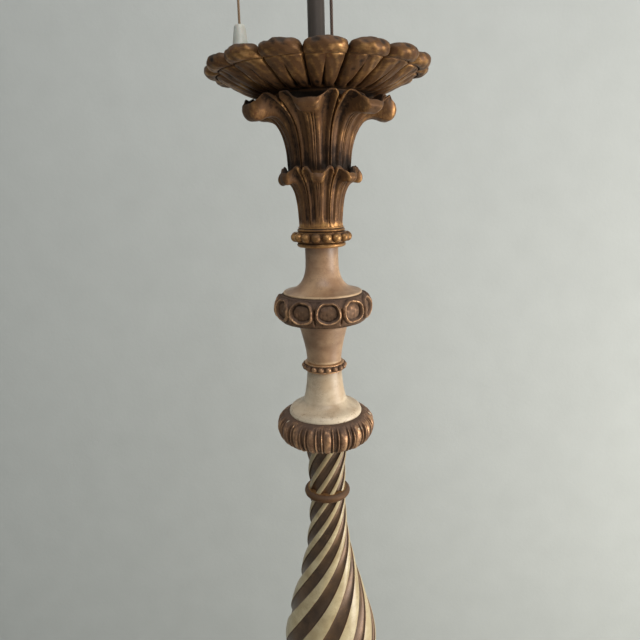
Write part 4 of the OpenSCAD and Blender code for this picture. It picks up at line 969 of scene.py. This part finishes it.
def lobed_ring(name, node, swell, lobes, deep, start):
    """swell is the outline of the moulding, with heights over the seat"""
    z0 = seat(node)
    line = np.array(bored(spline(swell, LOBE_ROWS)))
    out = sides(line)
    s = np.clip((np.arange(len(line)) - 1) / LOBE_ROWS, 0, 1)
    worked = ease(s, 0.05, 0.22) * ease(s, 0.79, 0.63)
    worked[[0, -1]] = 0

    def form(f, lobe, row):
        x = np.abs(f)
        broad = -0.9 * (x / 0.245) ** 2.6
        ridge = -0.05 - 1.0 * ((x - 0.33) / 0.072) ** 2
        d = deep * np.maximum(np.where(x < 0.262, broad, -9), np.maximum(ridge, -1.3))
        d += 0.25 * np.sin(s[row] * 15 + lobe * 2.3) * np.sin(f * 12 + lobe)
        d *= worked[row] * (0.94 + 0.12 * chance(lobe, 4))
        return line[row, 0] + out[row, 0] * d, z0 + line[row, 1] + out[row, 1] * d, 0 * f

    return carve(name, lobes, LOBE_SHARES, lifted(line, z0), form, start)


RING_SWELL = [(34, 0), (40, 0), (44.6, 1.6), (48.6, 5), (51.3, 10), (52.5, 16), (51.9, 21.6), (49.6, 26),
              (46, 29), (42, 30.7), (38, 31), (32, 31)]
BASE_SWELL = [(118, 0), (124, 0), (134, 1.4), (141, 5), (145.4, 10.6), (146, 16.5), (143.6, 22),
              (138.6, 26.4), (132, 29.2), (125, 30), (118, 30)]
for name, node in (("lobes_upper", "upper_lobed_ring"), ("lobes_lower", "lower_lobed_ring")):
    ring = lobed_ring(name, node, RING_SWELL, lobes=18, deep=2.1, start=facing(0.9))
    place(mark_crests_and_hollows(soften(ring, 0), 14, 0.8), chipped_gilding, node)
base_ring = lobed_ring("lobes_base", "base_lobed_ring", BASE_SWELL, lobes=24, deep=3.6, start=facing(0.9))
place(mark_crests_and_hollows(soften(base_ring, 0), 12, 0.9), gilding, "base_lobed_ring")

# %% [markdown]
# ## Medallion rings
# Eleven oval medallions lie on a turned ring. Each is a raised rim round a flat sunk middle, with a pointed
# cut between two neighbours.

# %% Medallion rings
MEDAL_SHARES = both_ways(0, .03, .06, .09, .12, .15, .18, .205, .23, .25, .265, .28, .292, .304, .316, .33,
                         .345, .36, .375, .39, .405, .42, .435, .45, .465, .475, .485, .493, .5)
MEDALS = 11
BAND_SWELL = [(34, 0), (38, 0), (42.4, 1.2), (44.8, 3.4), (46, 6.4), (47.6, 10), (48.4, 15), (47.8, 20),
              (46, 24.4), (43.4, 27.6), (40.4, 29.6), (37, 30), (32, 30)]
BAND_ROWS = 100
MEDAL_RADIUS = 50
MEDAL_MIDDLE = 16.8
MEDAL_HALF_WIDTH, MEDAL_HALF_HEIGHT = 13.1, 11.0
OVAL = 2.4
RIM_PROUD = 2.9


def medallion_band(name, node):
    z0 = seat(node)
    line = np.array(bored(spline(BAND_SWELL, BAND_ROWS)))
    out = sides(line)

    def form(f, medal, row):
        r, h = line[row].T
        across, over = f * TAU * MEDAL_RADIUS / MEDALS, h - MEDAL_MIDDLE
        e = np.abs(across / MEDAL_HALF_WIDTH) ** OVAL + np.abs(over / MEDAL_HALF_HEIGHT) ** OVAL
        e = e ** (1 / OVAL) + 0.02 * np.sin(5 * np.arctan2(over, across) + medal * 2)
        # The outer round edge, the crest of the rim and the steep wall down to the flat bottom
        rim = RIM_PROUD * np.sqrt(np.clip(1 - ((e - 0.86) / 0.18) ** 2, 0, 1))
        rim *= 1 + 0.3 * (chance(medal, 2) - 0.5)
        rim = np.where(e < 0.86, RIM_PROUD - 4.0 * ease(e, 0.85, 0.71), rim)
        d = np.where((row == 0) | (row == len(line) - 1), 0, rim)
        # Between two medallions a groove runs down to a point, and a raised band crosses above them
        d -= 2.4 * notch(0.5 - np.abs(f), 0.032) * ease(over, 6, 1) * ease(over, -13.5, -10)
        d += 1.2 * notch(over - 12.4, 1.3) * ease(e, 1.0, 1.15)
        d += 0.2 * np.sin(h * 0.9 + medal) * np.sin(f * 14 + medal * 2)
        d *= ease(h, 0.2, 2.5) * ease(h, 29.8, 27.5)
        return r + out[row, 0] * d, z0 + h + out[row, 1] * d * 0.6, 0 * f

    return carve(name, MEDALS, MEDAL_SHARES, lifted(line, z0), form, facing(5.5))


for name, node in (("medallions_upper", "medallion_ring"), ("medallions_lower", "lower_medallion_ring")):
    z = seat(node)
    # Painted shade: a dark band along the top, in the shadow of the ledge above, and one at the foot
    band = soil_and_shade(mark_crests_and_hollows(soften(medallion_band(name, node), 0), 8, 0.6), (z + 29, z + 25, 0.5), (z, z + 5, 0.6))
    place(band, chipped_gilding, node)

# %% [markdown]
# ## Twisted shaft
# The flutes keep the same lean of 32 degrees everywhere, so they turn fast where the shaft is slim and
# slowly round the belly, where the lands between them also grow wider. The outline is drawn with curves
# through four handles, and the turn is added up along it.

# %% Shaft outline and twist
SHAFT_FOOT, SHAFT_HEAD = 359, 1007
SHAFT = np.concatenate([bend([(SHAFT_FOOT, 25), (369, 21), (379, 20), (413, 20)], 16), [(422, 20)],
                        bend([(442, 20), (585, 21), (678, 54), (748, 54)], 60),
                        bend([(748, 54), (789.8, 54), (846.8, 19), (938, 20)], 60)[1:],
                        bend([(947, 20), (977, 20), (995, 21), (SHAFT_HEAD, 25)], 16)])
FLUTES = 8
PITCH = 360 / FLUTES
LEAN = math.radians(32)
TWIST_STEP = 0.5
# Here a flute stands straight in front
FRONT_HEIGHT = 834.8
climb = np.linspace(SHAFT_FOOT, SHAFT_HEAD, round((SHAFT_HEAD - SHAFT_FOOT) / TWIST_STEP) + 1)
shaft_radius = np.interp(climb, SHAFT[:, 0], SHAFT[:, 1])
turned_by = np.degrees(np.cumsum(math.tan(LEAN) * TWIST_STEP / shaft_radius))
turned_by -= np.interp(FRONT_HEIGHT, climb, turned_by)
# The shares are written for an edge at 0.25, and move with the real width of a flute
FLUTE_SHARES = both_ways(0, .045, .09, .13, .165, .195, .215, .23, .24, .247, .254, .265, .285, .32, .37,
                         .43, .5)
EDGE_SHARE = 0.25
ROW_STEP = 3.0
print("the flutes turn", round(float(turned_by[-1] - turned_by[0])), "degrees from the foot to the head")


# %% Fluted pieces
def flute_share(r):
    """Half a flute's width as a share of the pitch, wide on the slim shaft and narrow on the belly"""
    return np.interp(r, (20, 48), (0.32, 0.245))


def fluted_piece(name, node, length):
    z0 = seat(node)
    heights = np.linspace(z0, z0 + length, int(length / ROW_STEP) + 1)
    line = bored(list(zip(np.interp(heights, climb, shaft_radius), heights)))
    points = np.array(line)

    def form(f, flute, row):
        x = np.abs(f)
        r, h = points[row].T
        share = flute_share(r)
        moved = np.where(x < EDGE_SHARE, x * share / EDGE_SHARE,
                         0.5 - (0.5 - x) * (0.5 - share) / (0.5 - EDGE_SHARE))
        swing = np.interp(h, climb, turned_by) + (moved - x) * np.sign(f) * PITCH
        cut = np.sqrt(np.clip(1 - (x / 0.243) ** 2, 0, 1)) * 2.5 + 0.8 * ease(x, 0.25, 0.236)
        land = 0.6 * (1 - ((0.5 - x) / 0.25) ** 2)
        r = np.where((row == 0) | (row == len(line) - 1), r, r + np.where(x < 0.247, -cut, land))
        return r, h, swing

    piece = carve(name, FLUTES, FLUTE_SHARES, line, form, facing(0))
    x, y, z = places(piece.data).T / MM
    a = np.degrees(np.arctan2(y, x)) - facing(0) - np.interp(z, climb, turned_by)
    share = np.abs((a / PITCH + 0.5) % 1 - 0.5) / flute_share(np.interp(z, climb, shaft_radius))
    mark(piece.data, "flute", ease(share, 1.05, 0.95))
    return soil_and_shade(mark_crests_and_hollows(soften(piece, 0), 10, 0.9), (SHAFT_HEAD - 7, SHAFT_HEAD - 107, 0.4),
                (SHAFT_FOOT + 7, SHAFT_FOOT + 31, 0.3))


for name, node, length in (("shaft_low", "shaft_foot", 54), ("shaft_long", "twisted_shaft", 516),
                           ("shaft_high", "shaft_top", 60)):
    place(fluted_piece(name, node, length), fluted_paint, node)


# %% [markdown]
# ### Rings round the shaft
# Two plain half-round rings hide the joints between the three pieces of the shaft.

# %% Rings round the shaft
COLLAR_HEIGHT = 9
for name, node in (("shaft_collar_low", "lower_shaft_ring"), ("shaft_collar_high", "upper_shaft_ring")):
    z = seat(node)
    ring = soften(turn(name, bored(arc(20.9, z, z + COLLAR_HEIGHT, 4.5, 22))), 0)
    place(mark_crests_and_hollows(ring, 6, 1.2), dark_gilding, node)

# %% [markdown]
# ## Plinth and feet
# The foot of the lamp is below the picture, so it follows the same taste: a gilt moulded plinth on four bun
# feet. The plinth keeps the hollow underneath for the wiring. The four feet are turned alike on the axis
# and then set down in their places.

# %% Plinth
z = seat("plinth")
plinth_line = [(60, 2), (68, 2), (68, 0), *arc(145, 0, 6, 5, 12),
               *bend([(145, 7), (137.5, 8), (137, 12), (142, 16)], 14),
               *bend([(142.4, 16.6), (146.6, 18), (145, 23.4), (138, 24)], 12), (60, 24)]
plinth = soften(turn("plinth_moulding", lifted(plinth_line, z), 216), 0.4)
place(mark_crests_and_hollows(plinth, 22, 1.6), gilding, "plinth")

# %% Bun feet
FEET = 4
FEET_RADIUS = 114
FIRST_FOOT = 45
z = seat("bun_feet")
foot_line = [(4.1, 20), (4.1, 35), (21, 35), *bend([(22.2, 34.4), (22.8, 32.6), (19, 31), (18.8, 28.6)], 8),
             *bend([(19, 27), (26, 26), (29.8, 19), (30, 12)], 14),
             *bend([(30, 12), (29.6, 4), (26, 0.4), (21.6, 0)], 12), (0, 0), (0, 20)]
feet = []
for n in range(FEET):
    a = math.radians(FIRST_FOOT + 360 / FEET * n)
    foot = turn("foot_%d" % n, lifted(foot_line, z), 96)
    feet.append(set_down(foot, FEET_RADIUS * MM * math.cos(a), FEET_RADIUS * MM * math.sin(a)))
take(*feet)
bpy.ops.object.join()
bun_feet = bpy.context.object
bun_feet.name = "bun_feet_turned"
place(mark_crests_and_hollows(soften(bun_feet, 0.4), 20, 1.4), gilding, "bun_feet")

# %% [markdown]
# ## Stem
# The brown stem is a plain tube. It is turned with a bore and finely broken ends, and it has rings of
# points along its length.

# %% Stem
STEM_RADIUS = 8
low, high = (corner.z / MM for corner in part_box("stem_tube"))
stem_line = bored([(STEM_RADIUS, h) for h in np.linspace(low, high, 24)])
stem = soften(turn("stem_cover", stem_line, 72), 0.3)
place(stem, stem_lacquer, "stem_tube")

# %% [markdown]
# ## Finishes for the CAD nodes
# The fittings are turned metal and have the right shape already, so they stay and only get their finish.

# %% Finishes for the CAD nodes
FINISHES = {
    aged_brass: ("inlet_bush", "pan_washer", "pan_nut", "cluster_body", "cluster_arms", "holder_cup_left",
                 "holder_cup_right", "holder_shell_left", "holder_shell_right", "switch_bush_left",
                 "switch_bush_right", "shade_stud"),
    bright_brass: ("screw_shells", "centre_contacts", "plunger_left", "plunger_right"),
    plated_steel: ("foot_screws", "cover_screws", "base_washer", "base_nut", "centre_tube"),
    porcelain: ("holder_insert_left", "holder_insert_right", "terminal_block"),
    lead_rubber: ("inner_lead", "arm_leads"),
    pressed_felt: ("felt_pads",),
    cover_paint: ("base_cover",),
    dull_zinc: ("bulb_caps",),
    opal_glass: ("bulb_glasses",),
}
for finish, nodes in FINISHES.items():
    for node in nodes:
        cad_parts[node].data.materials.clear()
        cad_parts[node].data.materials.append(finish)
print("finished", sum(len(nodes) for nodes in FINISHES.values()), "CAD nodes")


# %% [markdown]
# ## Floor, wall and light
# The lamp stands before a pale plastered wall in soft daylight from the right. The wall is see-through from
# behind, so it never stands in the way of another view.

# %% Floor and wall
def plaster(name, pale, shade, see_through=False):
    material, tree, at = finish_of(name)
    cloud, speck, waves, grit = (
        add(tree, "TexNoise", {"Vector": at, "Scale": 1 / (size * MM), "Detail": detail,
                               "Roughness": 0.55})[0]
        for size, detail in ((71.43, 6), (6.25, 3), (8.333, 5), (1.667, 3)))
    tone = rgb(pale)
    for rule, colour in (((cloud, 0.3, 0.7), shade), ((speck, 0.7, 0.78, 0, 0.2), "#8F938F")):
        tone = add(tree, "Mix", {0: weigh(tree, rule), 6: tone, 7: rgb(colour)}, data_type="RGBA")[2]
    surface(material, tree, {"Base Color": tone, "Roughness": 0.85, "Specular IOR Level": 0.3},
            [(waves, 1.0, 0.35), (grit, 0.3, 0.4)])
    if see_through:
        shader, end = (next(n for n in tree.nodes if n.bl_idname == "ShaderNode" + kind)
                       for kind in ("BsdfPrincipled", "OutputMaterial"))
        behind = add(tree, "NewGeometry")["Backfacing"]
        clear = add(tree, "BsdfTransparent")[0]
        both = add(tree, "MixShader", {0: behind, 1: shader.outputs[0], 2: clear})[0]
        tree.links.new(both, end.inputs["Surface"])
    return material


deselect()
bpy.ops.mesh.primitive_circle_add(vertices=96, radius=6, fill_type="NGON", location=(0, 0, 0))
floor = bpy.context.object
floor.name = "floor"
floor.data.materials.append(plaster("pale_floor", "#D2D4CF", "#CCCFCA"))
bpy.ops.mesh.primitive_plane_add(size=1)
wall = bpy.context.object
wall.name = "wall"
WALL_BACK, WALL_HALF_WIDTH, WALL_HEIGHT = 0.7, 3.5, 3.4
corners = [(x, WALL_BACK, z) for z in (0, WALL_HEIGHT) for x in (-WALL_HALF_WIDTH, WALL_HALF_WIDTH)]
wall.data.vertices.foreach_set("co", np.array(corners).ravel())
wall.data.materials.append(plaster("pale_wall", "#BABEBB", "#B6BAB7", see_through=True))
print("floor", [round(v, 2) for v in floor.dimensions], "wall normal", tuple(wall.data.polygons[0].normal))


# %% Light
def soft_light(name, stand, target, size, watts, colour):
    data = bpy.data.lights.new(name, "AREA")
    data.shape = "DISK"
    data.size, data.energy, data.color = size, watts, rgb(colour)[:3]
    lamp = bpy.data.objects.new(name, data)
    bpy.context.scene.collection.objects.link(lamp)
    lamp.location = stand
    lamp.rotation_euler = (Vector(target) - Vector(stand)).to_track_quat("-Z", "Y").to_euler()


soft_light("window", (2.3, -0.85, 0.8), (0, 0, 1.15), 1.5, 66, "#FFF9F2")
soft_light("ceiling", (0.3, -1.2, 2.8), (0, 0, 1.0), 1.5, 24, "#FBFBFD")
soft_light("room", (-1.8, -1.6, 1.1), (0, 0, 1.1), 2.2, 2, "#F2F3F6")
world = bpy.data.worlds.new("pale_room")
world.use_nodes = True
tree = world.node_tree
tree.nodes.clear()
light_path = add(tree, "LightPath")
seen = light_path["Is Camera Ray"]
for ray in ("Is Glossy Ray", "Is Transmission Ray"):
    seen = add(tree, "Math", {0: seen, 1: light_path[ray]}, operation="MAXIMUM")[0]
pale = add(tree, "Background", {"Color": rgb("#B6BBB7"), "Strength": 1.0})[0]
glow = add(tree, "Background", {"Color": rgb("#DCDEDF"), "Strength": 0.28})[0]
mix = add(tree, "MixShader", {0: seen, 1: glow, 2: pale})[0]
add(tree, "OutputWorld", {"Surface": mix})
bpy.context.scene.world = world
bpy.context.scene.view_settings.view_transform = "Standard"
